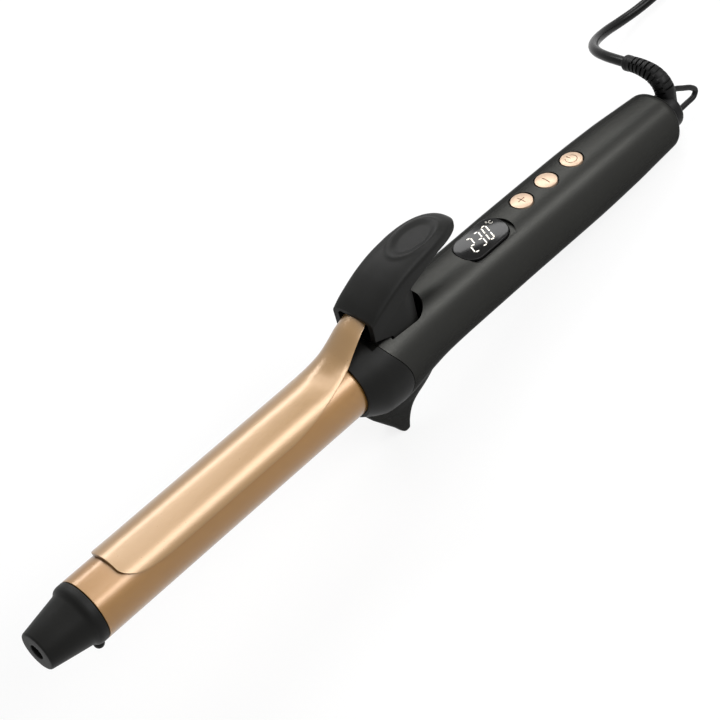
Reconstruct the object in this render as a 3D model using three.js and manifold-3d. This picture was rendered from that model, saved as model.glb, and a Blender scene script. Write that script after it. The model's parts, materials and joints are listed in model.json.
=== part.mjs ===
// Curling iron with a sprung clamp, a display, three buttons and a swivelling cord.
// Lengths are millimetres. The iron is built along +X from its tip, clamp up,
// and is then laid on its foot and the heel of its handle, as it rests on a table.
import * as THREE from 'three';
import { mergeVertices } from 'three/addons/utils/BufferGeometryUtils.js';
import Module from 'manifold-3d';

const wasm = await Module();
wasm.setup();

// Clearances and overruns
const seatGap = 0.3; // between two pieces that touch on the real iron
const cutOverrun = 2; // how far a cutting form passes the face it cuts

// Barrel and cool tip
const barrelRadius = 12.5;
const barrelWall = 1.3;
const collarFront = 151.9; // station where the barrel enters the collar
const barrelSeat = 16.1; // length of the barrel inside the collar
const barrelRear = collarFront + barrelSeat;
const capLength = 22.3;
const capEndRadius = 7.8;
const capWaistRadius = 11;
const capWaistAt = 17.8;
const capStepLength = 2;
const capEdgeRound = 0.7;
const capSpigotLength = 8;
const capWall = 2.2;
const capBossRadius = 4.2;
const tipNubRadius = 1.8;
const tipNubReach = 15.2; // from the axis to the nub's round end
const tipNubTurn = 19; // degrees from straight below, towards the user's side
const tipScrewPocketRadius = 3;
const tipScrewPocketDepth = 9;
const tipScrewHeadRadius = 2.6;
const tipScrewHeadHeight = 1.8;
const tipScrewRadius = 1.4;
const tipScrewLength = 20;
const socketRadius = 1.1;
const socketDepth = 1.2;

// Heater core inside the barrel
const coreFront = 36;
const coreRear = 140;
const coreSplit = 2.2; // half the slot that holds the heating plate
const heaterWidth = 16;
const heaterMargin = 4;
const thermostatLength = 14;
const thermostatRadius = 2.6;

// Clamp, a formed sheet with a neck that rises to the lever
const clampSheet = 1.1;
const clampRadius = barrelRadius + seatGap + clampSheet;
const clampFront = 36;
const clampRear = 186;

// Lever
const leverFront = 164.5;
const leverRear = 219.7;
const leverHalfWidth = 10.7;
const leverCrown = 40.2; // the lever's highest point over the barrel's axis
const leverWall = 2.7;
const dishAt = 200.5;
const dishHalfLength = 11.5;
const dishHalfWidth = 6.2;
const dishDepth = 1.0;
const dishRimWidth = 1.3;
const dishRimHeight = 0.35;
const dishRimDepth = 4;
const dishFloorShare = 1.25; // of the dish's outline, for the hollowing ellipsoid
const dishFloorDepth = 2.2;
const dishFloorRise = 0.9;

// Pivot, with its pin, cheeks and spring
const pivotAt = 181;
const pivotHeight = 8;
const pinRadius = 1.6;
const pinHalfLength = 12.2;
const cheekRadius = 7.2;
const cheekThickness = 2.8;
const cheekOuter = 9.9; // from the middle plane to a cheek's outer face
const cheekCornerRound = 2;
const cheekUnderside = 14.4; // height of the cheeks' lower edge in front of the pivot
const cheekRear = 191.5; // round end of the cheeks, seen from above
const cheekWebLow = 9; // lower edge of the wall that joins the cheeks behind the pivot
const springWire = 0.6; // radius
const springRadius = 3.5;
const springTurns = 5;
const springHalfWidth = 4.3;
const springStepsPerTurn = 8;
const springLegLength = 9.1;
const springUpperTurn = 80; // degrees, of the leg under the lever
const springLowerTurn = 24; // degrees, of the leg on the pocket's floor
const springSides = 5;

// Rivets through the clamp's neck
const rivetRadius = 1.5;
const rivetHeadRadius = 2.7;
const rivetHeadHeight = 1.1;
const rivetGrip = 2.4; // how deep a rivet stands in the lever
const neckSag = 0.3; // how far the sheet curves away under a rivet's head
const rivetPlaces = [173.5, 181.5];

// Collar and handle
const collarReach = 20.3; // from the collar's front to its tongue's round end
const collarLip = 0.9;
const wireDuctRadius = 4;
const wireDuctHeight = -6;
const handleLength = 189.6; // from the collar's front to the handle's rear
const handleRear = collarFront + handleLength;
const gripRadius = 14.55; // half the handle's width at the display
const handleEdgeRound = 5.5;
const handleWall = 2.4;
const pocketHalfWidth = 10.2;
const pocketFront = 172.3;
const pocketRear = 195;
const cavityWall = 4; // between the lever's pocket and the hollow for the board
const cavityFront = pocketRear + cavityWall;
const rearWall = 14.5; // of the handle, round the swivel's bush
const cavityRear = handleRear - rearWall;
const pocketRound = 10.1;
const pocketFloorGap = 0.6;
const shelfFront = 163; // the shallow stretch of the pocket over the barrel's end
const shelfHalfWidth = 8.6;
const shelfOver = 0.8; // height of the shelf's floor over the barrel
const shelfFloor = barrelRadius + shelfOver;

// Foot under the front of the handle, and the heel that it rests with
const footReach = 36.4;
const footRear = 174.6;
const footHalfWidth = 5.2;
const footLength = 17.6; // from the foot's front at the handle to its rear at the table
const heelAt = handleRear - handleEdgeRound;
const heelReach = 14.4;

// Display
const lensFrontShare = 0.3555; // of the handle's length
const lensLength = 24.9;
const lensFront = collarFront + lensFrontShare * handleLength;
const lensRear = lensFront + lensLength;
const lensHalfWidth = 6.8;
const lensHeight = 13.9; // above the barrel's axis, along the lens's own normal
const lensThickness = 2.6;
const lensRoll = 6; // degrees round the handle, towards the user's side
const lensFrontRound = 6.2;
const lensRearRound = 6.2;
const ledgeDrop = 1.3; // from the lens's top to the ledge beside it
const ledgeWidth = 2.2;
const ledgeBehind = 1;
const moduleMargin = 1.6;
const moduleThickness = 4;

// Buttons and their switches
const buttonRadius = 4.5;
const buttonTop = 13.75;
const buttonCrown = 0.45;
const buttonDepth = 4.2;
const buttonFlangeRadius = 5.4;
const buttonFlange = 0.9;
const buttonRing = 0.35; // gap all round
const buttonTravel = 0.5;
const buttonNames = ['button_plus', 'button_minus', 'button_power'];
const buttonShares = [0.5559, 0.6334, 0.7147]; // of the handle's length
const switchSize = 6;
const switchHeight = 3.4;
const plungerRadius = 1.7;

// Chassis, control board and the screws under the handle
const boardThickness = 1.6;
const boardHalfWidth = 9;
const boardSetback = 17; // from the front of the cavity
const boardLead = 45.5; // from the board's rear to the handle's
const boardFront = cavityFront + boardSetback;
const boardRear = handleRear - boardLead;
const boardTop = 5.0;
const chassisThickness = 2;
const chassisHalfWidth = 9.6;
const chassisSetback = 4;
const chassisLead = 33.5;
const chassisFront = cavityFront + chassisSetback;
const chassisRear = handleRear - chassisLead;
const chassisRibHeight = 5;
const chassisRibShares = [0.075, 0.525, 0.925]; // of the board's length
const screwSetback = 11;
const screwLead = 39.5;
const screwPlaces = [cavityFront + screwSetback, handleRear - screwLead];
const screwHeadRadius = 2.7;
const screwHeadHeight = 1.6;
const screwRadius = 1.3;
const screwLength = 7;
const screwBossRadius = 3.4;
const screwSink = 1.4;

// Swivel at the rear of the handle
const swivelHeight = -2;
const bushOuterRadius = 9;
const bushRadius = 6.2;
const bushLength = 12.5;
const bushFront = handleRear - bushLength;
const bushFlangeRadius = 10.2;
const bushFlange = 2;
const spindleRadius = bushRadius - seatGap;
const spindleLength = 18.5;
const spindleFront = handleRear - spindleLength;
const noseRadius = 3.4;
const noseLength = 12;
const noseFront = spindleFront - noseLength;
const clipRadius = 8;
const clipThickness = 1.2;
const clipGroove = 0.9;
const ringRadius = 4.6;
const ringWidth = 2.2;
const ringMargin = 2;
const ringPitch = 4.5;
const ringPlaces = [noseFront + ringMargin, noseFront + ringMargin + ringPitch];
const brushHeight = 3;
const brushWidth = 6;
const brushLength = 9;
const hubRadius = 8;
const hubLength = 5.6;
const hubRound = 1.6;

// Strain relief
const reliefStartRadius = 4.3;
const reliefEndRadius = 3.25;
const reliefCapRadius = 3.4;
const reliefCapLength = 2.6;
const reliefSides = 12;
const reliefSteps = 16;
const slotWidth = 0.8;
const slotDepth = 1.35;
const slotPitch = 2;
const sideSlots = 10;
const topSlots = 9;
const firstSlotAt = 9.5;

// Hanging loop behind the hub
const loopWire = 1.2; // radius
const loopSteps = 20;
const loopSides = 8;

// Cord, with the length that is put away wound into a hank held by a tie
const cordRadius = 2.2;
const cordSides = 8;
const cordSteps = 34;
const hankHalfRun = 40.75;
const hankInner = 13.2; // least reach of a turn from the hank's middle line
const hankPitch = 5.45;
const hankLayerPitch = 4.9;
const hankTurnsPerLayer = 3;
const hankTurns = 5.5;
const hankRunSteps = 6;
const hankBendSteps = 6;
const hankDrawIn = 8.5; // how much nearer the runs lie where the tie holds them
const hankSides = 6;
const hankAt = [304, 23.4]; // the hank's middle on the table
const leadSteps = 10;
const tieWidth = 10;
const tieThickness = 0.8;
const cordLift = 0.05; // of the lowest pieces over the table
const plugLength = 35;
const plugHalfWidth = 17.6;
const plugHalfHeight = 6.85;
const plugFaceRound = 4;
const plugNeckRadius = 4.2;
const plugNeckLength = 12;
const plugPinRadius = 2;
const plugPinLength = 19;
const plugPinHalfSpacing = 9.3;
const plugSocketDepth = 5;
const plugSide = 44; // from the hank's middle line to the plug's
const plugBehind = 12; // from the end of the hank's runs to the plug's neck

const degree = Math.PI / 180;
const lathePoints = 32;

// Returns a three.js geometry as a closed solid for joining and cutting.
function solid(geometry) {
  const bare = geometry.index ? geometry.toNonIndexed() : geometry.clone();
  bare.deleteAttribute('normal');
  bare.deleteAttribute('uv');
  const merged = mergeVertices(bare);
  const triVerts = Uint32Array.from(merged.index.array);
  const vertProperties = Float32Array.from(merged.attributes.position.array);
  return new wasm.Manifold(new wasm.Mesh({ numProp: 3, vertProperties, triVerts }));
}

// Returns a joined or cut solid as a three.js geometry.
function surface(manifold) {
  const mesh = manifold.getMesh();
  const geometry = new THREE.BufferGeometry();
  geometry.setAttribute('position', new THREE.BufferAttribute(Float32Array.from(mesh.vertProperties), 3));
  geometry.setIndex(new THREE.BufferAttribute(Uint32Array.from(mesh.triVerts), 1));
  geometry.computeVertexNormals();
  return geometry;
}

// Joins rings of equal counts into one closed body, capped at both ends.
function loft(rings) {
  const count = rings[0].length;
  const positions = [];
  const indices = [];
  for (const ring of rings) {
    for (const point of ring) positions.push(point.x, point.y, point.z);
  }
  for (let row = 0; row + 1 < rings.length; row += 1) {
    for (let k = 0; k < count; k += 1) {
      const next = (k + 1) % count;
      const a = row * count + k;
      const b = row * count + next;
      indices.push(a, b, a + count, b, b + count, a + count);
    }
  }
  for (const row of [0, rings.length - 1]) {
    const centre = new THREE.Vector3();
    for (const point of rings[row]) centre.add(point);
    centre.divideScalar(count);
    const hub = positions.length / 3;
    positions.push(centre.x, centre.y, centre.z);
    for (let k = 0; k < count; k += 1) {
      const next = (k + 1) % count;
      if (row === 0) indices.push(hub, row * count + next, row * count + k);
      else indices.push(hub, row * count + k, row * count + next);
    }
  }
  return facingOut(positions, indices);
}

// Makes a geometry and turns its faces outwards when its volume comes out negative.
function facingOut(positions, indices) {
  const corner = (index) => new THREE.Vector3().fromArray(positions, 3 * index);
  let volume = 0;
  for (let k = 0; k < indices.length; k += 3) {
    const [a, b, c] = [corner(indices[k]), corner(indices[k + 1]), corner(indices[k + 2])];
    volume += a.dot(b.cross(c));
  }
  if (volume < 0) {
    for (let k = 0; k < indices.length; k += 3) {
      [indices[k], indices[k + 1]] = [indices[k + 1], indices[k]];
    }
  }
  const geometry = new THREE.BufferGeometry();
  geometry.setAttribute('position', new THREE.Float32BufferAttribute(positions, 3));
  geometry.setIndex(indices);
  geometry.computeVertexNormals();
  return geometry;
}

// Revolves [station, radius] pairs round the barrel's axis, or a line at another height.
function revolved(profile, height = 0, points = lathePoints) {
  const geometry = new THREE.LatheGeometry(profile.map(([x, r]) => new THREE.Vector2(r, x)), points);
  geometry.rotateZ(-Math.PI / 2);
  geometry.translate(0, 0, height);
  const merged = mergeVertices(stripped(geometry));
  return facingOut(Array.from(merged.attributes.position.array), Array.from(merged.index.array));
}

function stripped(geometry) {
  geometry.deleteAttribute('normal');
  geometry.deleteAttribute('uv');
  return geometry;
}

// A closed revolve: its profile is a loop, so the first pair is repeated at the end.
function ringOf(profile, height = 0, points = lathePoints) {
  return revolved([...profile, profile[0]], height, points);
}

// A rod along X, Y or Z between two stations.
function rod(axis, from, to, radius, at = [0, 0], points = 24) {
  const geometry = new THREE.CylinderGeometry(radius, radius, to - from, points);
  geometry.translate(0, (from + to) / 2, 0);
  if (axis === 'x') {
    geometry.rotateZ(-Math.PI / 2);
    geometry.translate(0, at[0], at[1]);
  } else if (axis === 'y') {
    geometry.translate(at[0], 0, at[1]);
  } else {
    geometry.rotateX(Math.PI / 2);
    geometry.translate(at[0], at[1], 0);
  }
  return geometry;
}

function block(x, y, z) {
  const geometry = new THREE.BoxGeometry(x[1] - x[0], y[1] - y[0], z[1] - z[0]);
  geometry.translate((x[0] + x[1]) / 2, (y[0] + y[1]) / 2, (z[0] + z[1]) / 2);
  return geometry;
}

function extruded(shape, depth, curveSegments) {
  return new THREE.ExtrudeGeometry(shape, { depth, bevelEnabled: false, curveSegments });
}

// Extrudes an outline drawn in X and Z through Y, between two places.
function throughWidth(shape, from, to) {
  const geometry = extruded(shape, to - from, 10);
  geometry.rotateX(Math.PI / 2);
  geometry.translate(0, to, 0);
  return geometry;
}

// Extrudes an outline drawn in X and Y upwards, between two heights.
function upwards(shape, from, to) {
  const geometry = extruded(shape, to - from, 10);
  geometry.translate(0, 0, from);
  return geometry;
}

// A rounded oblong in X and Y whose front and rear corners may differ.
function oblong(front, rear, halfWidth, frontRound, rearRound) {
  const shape = new THREE.Shape();
  shape.moveTo(front + frontRound, -halfWidth);
  shape.lineTo(rear - rearRound, -halfWidth);
  shape.absarc(rear - rearRound, rearRound - halfWidth, rearRound, -Math.PI / 2, 0, false);
  shape.lineTo(rear, halfWidth - rearRound);
  shape.absarc(rear - rearRound, halfWidth - rearRound, rearRound, 0, Math.PI / 2, false);
  shape.lineTo(front + frontRound, halfWidth);
  shape.absarc(front + frontRound, halfWidth - frontRound, frontRound, Math.PI / 2, Math.PI, false);
  shape.lineTo(front, frontRound - halfWidth);
  shape.absarc(front + frontRound, frontRound - halfWidth, frontRound, Math.PI, 1.5 * Math.PI, false);
  return shape;
}

// A superellipse ring across X.
function crossRing(x, halfWidth, halfHeight, height, power, points) {
  const ring = [];
  for (let k = 0; k < points; k += 1) {
    const angle = (2 * Math.PI * k) / points;
    const [c, s] = [Math.cos(angle), Math.sin(angle)];
    const y = halfWidth * Math.sign(c) * Math.abs(c) ** (2 / power);
    const z = height + halfHeight * Math.sign(s) * Math.abs(s) ** (2 / power);
    ring.push(new THREE.Vector3(x, y, z));
  }
  return ring;
}

// Sweeps a round section along points. Radii may change from point to point.
function tube(points, radii, sides, firstSide) {
  const rings = [];
  let side = firstSide.clone();
  for (let k = 0; k < points.length; k += 1) {
    const before = points[Math.max(k - 1, 0)];
    const after = points[Math.min(k + 1, points.length - 1)];
    const forward = after.clone().sub(before).normalize();
    side = side.sub(forward.clone().multiplyScalar(side.dot(forward))).normalize();
    const other = forward.clone().cross(side);
    const radius = Array.isArray(radii) ? radii[k] : radii;
    const ring = [];
    for (let n = 0; n < sides; n += 1) {
      const angle = (2 * Math.PI * n) / sides;
      const reach = side.clone().multiplyScalar(radius * Math.cos(angle));
      ring.push(reach.add(other.clone().multiplyScalar(radius * Math.sin(angle))).add(points[k]));
    }
    rings.push(ring);
  }
  return loft(rings);
}

function vector(point) {
  return new THREE.Vector3(point[0], point[1], point[2]);
}

// Reads a table of rows at a station, easing between its rows.
function between(rows, at) {
  let k = 0;
  while (k + 2 < rows.length && rows[k + 1][0] < at) k += 1;
  const share = THREE.MathUtils.clamp((at - rows[k][0]) / (rows[k + 1][0] - rows[k][0]), 0, 1);
  return rows[k].map((value, column) => value + share * (rows[k + 1][column] - value));
}

// Cool tip

function tipCap() {
  const boreRadius = tipScrewRadius + seatGap;
  const spigotRadius = barrelRadius - barrelWall - seatGap;
  const spigotEnd = capLength + capSpigotLength;
  const outer = [
    [0, tipScrewPocketRadius],
    [0, capEndRadius - capEdgeRound],
    [capEdgeRound, capEndRadius],
    [capWaistAt, capWaistRadius],
    [capWaistAt + capStepLength / 3, (2 * capWaistRadius + barrelRadius) / 3],
    [capWaistAt + (2 * capStepLength) / 3, barrelRadius - capEdgeRound / 2],
    [capWaistAt + capStepLength, barrelRadius],
    [capLength, barrelRadius],
    [capLength, spigotRadius],
  ];
  const inner = [
    [spigotEnd, spigotRadius],
    [spigotEnd, spigotRadius - capWall],
    [capWaistAt + capStepLength, spigotRadius - capWall],
    [capWaistAt - capStepLength, capWaistRadius - 1.5 * capWall],
    [capWaistAt - capStepLength, capBossRadius],
    [spigotEnd - capWall, capBossRadius],
    [spigotEnd - capWall, boreRadius],
    [tipScrewPocketDepth, boreRadius],
    [tipScrewPocketDepth, tipScrewPocketRadius],
  ];
  const nubAt = capLength - tipNubRadius;
  const nubProfile = [
    new THREE.Vector2(0, 0),
    new THREE.Vector2(tipNubRadius, 0),
    new THREE.Vector2(tipNubRadius, tipNubReach - spigotRadius - tipNubRadius),
  ];
  for (let k = 1; k <= 4; k += 1) {
    const angle = (k * Math.PI) / 8;
    const alongAxis = tipNubReach - spigotRadius - tipNubRadius + tipNubRadius * Math.sin(angle);
    nubProfile.push(new THREE.Vector2(k === 4 ? 0 : tipNubRadius * Math.cos(angle), alongAxis));
  }
  const nub = new THREE.LatheGeometry(nubProfile, 16);
  nub.rotateX(-Math.PI / 2);
  nub.translate(nubAt, 0, -spigotRadius);
  nub.rotateX(-tipNubTurn * degree);
  return surface(solid(ringOf([...outer, ...inner])).add(solid(nub)));
}

function tipScrew() {
  const seat = tipScrewPocketDepth - seatGap;
  const head = seat - tipScrewHeadHeight;
  const end = seat + tipScrewLength;
  return revolved([
    [head + socketDepth, 0],
    [head + socketDepth, socketRadius],
    [head, socketRadius],
    [head, tipScrewHeadRadius - socketDepth / 2],
    [head + socketDepth / 2, tipScrewHeadRadius],
    [seat, tipScrewHeadRadius],
    [seat, tipScrewRadius],
    [end - tipScrewRadius, tipScrewRadius],
    [end, 0],
  ], 0, 24);
}

// Barrel and heater core

function barrel() {
  const inside = barrelRadius - barrelWall;
  const front = capLength + seatGap;
  return ringOf([[front, barrelRadius], [barrelRear, barrelRadius], [barrelRear, inside], [front, inside]]);
}

function heaterHalf(side) {
  const radius = barrelRadius - barrelWall - seatGap;
  const full = solid(rod('x', coreFront, coreRear, radius, [0, 0], 32));
  const x = [coreFront - cutOverrun, coreRear + cutOverrun];
  const y = [-radius - cutOverrun, radius + cutOverrun];
  const reach = radius + cutOverrun;
  const z = side > 0 ? [-reach, coreSplit] : [-coreSplit, reach];
  return surface(full.subtract(solid(block(x, y, z))));
}

function heatingPlate() {
  const thickness = coreSplit - seatGap;
  return block(
    [coreFront + heaterMargin, coreRear - heaterMargin],
    [-heaterWidth / 2, heaterWidth / 2],
    [-thickness, thickness],
  );
}

function thermostat() {
  const front = coreRear + seatGap;
  const height = barrelRadius - barrelWall - seatGap - thermostatRadius;
  return revolved([
    [front, 0],
    [front, thermostatRadius - capEdgeRound],
    [front + capEdgeRound, thermostatRadius],
    [front + thermostatLength - capEdgeRound, thermostatRadius],
    [front + thermostatLength, thermostatRadius - capEdgeRound],
    [front + thermostatLength, 0],
  ], height, 16);
}

// Clamp: each row has a share of its length, the crown's rise as a share of the clamp's radius,
// and half the angle that the sheet spans there, in degrees
const clampShares = [
  [0, 0.018, 30], [0.0047, 0.0144, 37], [0.0173, 0.0086, 45], [0.0353, 0.0036, 53], [0.0713, 0, 58.4],
  [0.1453, 0, 61.5], [0.5267, 0, 61.2], [0.5933, 0, 57.5], [0.64, 0, 52.5], [0.68, 0.0108, 46.5],
  [0.7133, 0.0647, 41], [0.7467, 0.1727, 36.5], [0.7667, 0.2662, 33.8], [0.7933, 0.446, 30],
  [0.8267, 0.6691, 27], [0.8567, 0.8058, 24], [0.8933, 0.9496, 22], [0.94, 1.0791, 22],
  [1, 1.1367, 22],
];
const clampRows = clampShares.map(([along, rise, halfAngle]) => [
  clampFront + along * (clampRear - clampFront),
  rise * clampRadius,
  halfAngle,
]);

function clampPlate() {
  const arcSteps = 10;
  const rings = clampRows.map(([x, rise, halfAngle]) => {
    const ring = [];
    const push = (radius, share) => {
      const angle = halfAngle * degree * share;
      ring.push(new THREE.Vector3(x, radius * Math.sin(angle), rise + radius * Math.cos(angle)));
    };
    for (let k = 0; k <= arcSteps; k += 1) push(clampRadius, 1 - (2 * k) / arcSteps);
    for (let k = 0; k <= arcSteps; k += 1) push(clampRadius - clampSheet, (2 * k) / arcSteps - 1);
    return ring;
  });
  let plate = solid(loft(rings));
  for (const at of rivetPlaces) {
    const hole = rod('z', -2 * clampSheet, 2 * clampSheet, rivetRadius + seatGap, [0, 0], 16);
    plate = plate.subtract(solid(squareToNeck(hole, at)));
  }
  return surface(plate);
}

function clampTopAt(x) {
  return clampRadius + between(clampRows, x)[1];
}

// Lays a form, drawn about the vertical with its zero on the sheet's top, square to the neck.
function squareToNeck(geometry, at) {
  const rise = clampTopAt(at + rivetRadius) - clampTopAt(at - rivetRadius);
  geometry.rotateY(-Math.atan2(rise, 2 * rivetRadius));
  geometry.translate(at, 0, clampTopAt(at));
  return geometry;
}

// Lever: each row has a share of its length and of its half width, and then shares of its crown's height
// for the crown, the arch, the skirt's lower edge and the belly below it
const leverShares = [
  [0, 0.9626, 0.7065, 0.1244, 0.4378, 0.0075], [0.0634, 0.9813, 0.7662, 0.1294, 0.4876, 0.0075],
  [0.1449, 0.9907, 0.8284, 0.1368, 0.5448, 0.0075], [0.2627, 1, 0.903, 0.1443, 0.6219, 0.01],
  [0.3895, 1, 0.9577, 0.1493, 0.6965, 0.0149], [0.5163, 0.9907, 0.9851, 0.1493, 0.7612, 0.0249],
  [0.6159, 0.9626, 0.9975, 0.1493, 0.801, 0.0299], [0.7065, 0.9159, 1, 0.1468, 0.8209, 0.0348],
  [0.788, 0.8318, 0.99, 0.1418, 0.8209, 0.0348], [0.8605, 0.7103, 0.9726, 0.1318, 0.8109, 0.0323],
  [0.9203, 0.5421, 0.9428, 0.1144, 0.7985, 0.0299], [0.9656, 0.3551, 0.9055, 0.0896, 0.791, 0.0249],
  [0.9909, 0.1869, 0.8682, 0.0597, 0.791, 0.0323], [1, 0.0561, 0.8433, 0.0348, 0.796, 0.0149],
];
const leverRows = leverShares.map(([along, width, ...heights]) => [
  leverFront + along * (leverRear - leverFront),
  width * leverHalfWidth,
  ...heights.map((share) => share * leverCrown),
]);

function leverRowAt(x) {
  return between(leverRows, x);
}

function leverForm() {
  const points = 28;
  const rings = leverRows.map(([x, halfWidth, crown, arch, skirt, belly]) => {
    const ring = [];
    for (let k = 0; k <= points / 2; k += 1) {
      const angle = (2 * Math.PI * k) / points;
      ring.push(new THREE.Vector3(x, halfWidth * Math.cos(angle), crown - arch + arch * Math.sin(angle)));
    }
    for (let k = 0; k <= points / 2; k += 1) {
      const angle = Math.PI + (2 * Math.PI * k) / points;
      const low = skirt - seatGap + belly * Math.sin(angle);
      ring.push(new THREE.Vector3(x, halfWidth * Math.cos(angle), low));
    }
    return ring;
  });
  return loft(rings);
}

// The hollow under the lever, open at the front and below, whose roof lies on the clamp's neck.
function leverHollow() {
  const hollowShares = [0, 0.1, 0.2264, 0.3895, 0.4982, 0.6069];
  const rings = hollowShares.map((along) => {
    const x = along === 0 ? leverFront - cutOverrun : leverFront + along * (leverRear - leverFront);
    const [, halfWidth, , , skirt] = leverRowAt(x);
    const roof = clampTopAt(x) + seatGap - Math.max(x - clampRear, 0) / 4;
    const inside = halfWidth - leverWall;
    const low = Math.min(skirt, roof) - 2 * cheekRadius;
    const corner = leverWall / 2;
    return [
      new THREE.Vector3(x, -inside, low),
      new THREE.Vector3(x, inside, low),
      new THREE.Vector3(x, inside, roof - corner),
      new THREE.Vector3(x, inside - corner, roof),
      new THREE.Vector3(x, corner - inside, roof),
      new THREE.Vector3(x, -inside, roof - corner),
    ];
  });
  return loft(rings);
}

// A cheek's outline: the round hub at the pivot, with a web up into the lever's skirt.
function cheekOutline() {
  const shape = new THREE.Shape();
  const rearTop = pivotAt + cheekRadius - seatGap;
  const frontTop = pivotAt - cheekRadius + seatGap;
  const skirtAt = (x) => leverRowAt(x)[4] + leverWall / 2;
  shape.moveTo(leverFront + seatGap, leverRowAt(leverFront)[4] - seatGap);
  shape.lineTo(frontTop - cheekCornerRound, cheekUnderside);
  shape.quadraticCurveTo(frontTop, cheekUnderside, frontTop, pivotHeight);
  shape.absarc(pivotAt, pivotHeight, cheekRadius - seatGap, Math.PI, 2 * Math.PI, false);
  shape.lineTo(rearTop, skirtAt(rearTop));
  shape.lineTo(leverFront + seatGap, skirtAt(leverFront));
  shape.closePath();
  return shape;
}

// The cheeks seen from above: an oblong with a round rear end, and the space inside their walls.
function cheekPlan(inset) {
  const front = leverFront - 2 * inset;
  const outline = oblong(front, cheekRear - inset, cheekOuter - inset, seatGap, cheekOuter - inset);
  return upwards(outline, 0, leverRowAt(cheekRear)[4] + leverWall / 2 - (inset > 0 ? leverWall / 2 : 0));
}

function thumbLever() {
  let lever = solid(leverForm()).subtract(solid(leverHollow()));
  const plan = solid(cheekPlan(0));
  const inside = solid(cheekPlan(cheekThickness));
  const cheeks = solid(throughWidth(cheekOutline(), -cheekOuter, cheekOuter)).intersect(plan);
  const behind = [pivotAt, cheekRear + cutOverrun];
  const high = leverRowAt(cheekRear)[4] + leverWall / 2;
  const web = solid(block(behind, [-cheekOuter, cheekOuter], [cheekWebLow, high])).intersect(plan);
  lever = lever.add(cheeks.add(web).subtract(inside));
  const pinHole = rod('y', -pinHalfLength, pinHalfLength, pinRadius + seatGap, [pivotAt, pivotHeight], 20);
  lever = lever.subtract(solid(pinHole));
  for (const at of rivetPlaces) {
    const hole = rod('z', -clampSheet, seatGap + rivetGrip + seatGap, rivetRadius + seatGap, [0, 0], 16);
    lever = lever.subtract(solid(squareToNeck(hole, at)));
  }
  const crown = leverRowAt(dishAt)[2];
  const rim = new THREE.SphereGeometry(1, 24, 10);
  rim.scale(dishHalfLength + dishRimWidth, dishHalfWidth + dishRimWidth, dishRimDepth);
  rim.translate(dishAt, 0, crown - dishRimDepth + dishRimHeight);
  const floor = new THREE.SphereGeometry(1, 24, 10);
  floor.scale(dishHalfLength * dishFloorShare, dishHalfWidth * dishFloorShare, dishFloorDepth);
  floor.translate(dishAt, 0, crown + dishRimHeight + dishFloorRise * dishDepth);
  return surface(lever.add(solid(rim)).subtract(solid(floor)));
}

function pivotPin() {
  return rod('y', seatGap - pinHalfLength, pinHalfLength - seatGap, pinRadius, [pivotAt, pivotHeight], 20);
}

// Torsion spring: its coils stand round the pin, one leg under the lever and one on the pocket's floor.
function torsionSpring() {
  const points = [];
  const coilSteps = springTurns * springStepsPerTurn;
  const legLength = springLegLength;
  const upperAngle = springUpperTurn * degree;
  const lowerAngle = springLowerTurn * degree;
  const sweep = 2 * Math.PI * springTurns + (upperAngle - lowerAngle);
  const place = (angle, radius, y) => new THREE.Vector3(
    pivotAt + radius * Math.sin(angle),
    y,
    pivotHeight + radius * Math.cos(angle),
  );
  const start = place(lowerAngle + Math.PI, springRadius, -springHalfWidth);
  const startAlong = new THREE.Vector3(Math.cos(lowerAngle + Math.PI), 0, -Math.sin(lowerAngle + Math.PI));
  points.push(start.clone().addScaledVector(startAlong, -legLength));
  points.push(start.clone().addScaledVector(startAlong, -legLength / 2));
  for (let k = 0; k <= coilSteps; k += 1) {
    const angle = lowerAngle + Math.PI + (sweep * k) / coilSteps;
    points.push(place(angle, springRadius, springHalfWidth * ((2 * k) / coilSteps - 1)));
  }
  const last = lowerAngle + Math.PI + sweep;
  const endAlong = new THREE.Vector3(Math.cos(last), 0, -Math.sin(last));
  points.push(points.at(-1).clone().addScaledVector(endAlong, legLength / 2));
  points.push(points.at(-2).clone().addScaledVector(endAlong, legLength));
  return tube(points, springWire, springSides, new THREE.Vector3(0, 1, 0));
}

function rivet(at) {
  const under = -clampSheet - neckSag - seatGap;
  const top = seatGap + rivetGrip;
  const profile = [
    new THREE.Vector2(0, under - rivetHeadHeight),
    new THREE.Vector2(0.6 * rivetHeadRadius, under - 0.8 * rivetHeadHeight),
    new THREE.Vector2(rivetHeadRadius, under - 0.15 * rivetHeadHeight),
    new THREE.Vector2(rivetHeadRadius, under),
    new THREE.Vector2(rivetRadius, under),
    new THREE.Vector2(rivetRadius, top),
    new THREE.Vector2(0, top),
  ];
  const geometry = new THREE.LatheGeometry(profile, 16);
  geometry.rotateX(Math.PI / 2);
  return facingOutOf(squareToNeck(geometry, at));
}

function facingOutOf(geometry) {
  const merged = mergeVertices(stripped(geometry));
  return facingOut(Array.from(merged.attributes.position.array), Array.from(merged.index.array));
}

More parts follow.
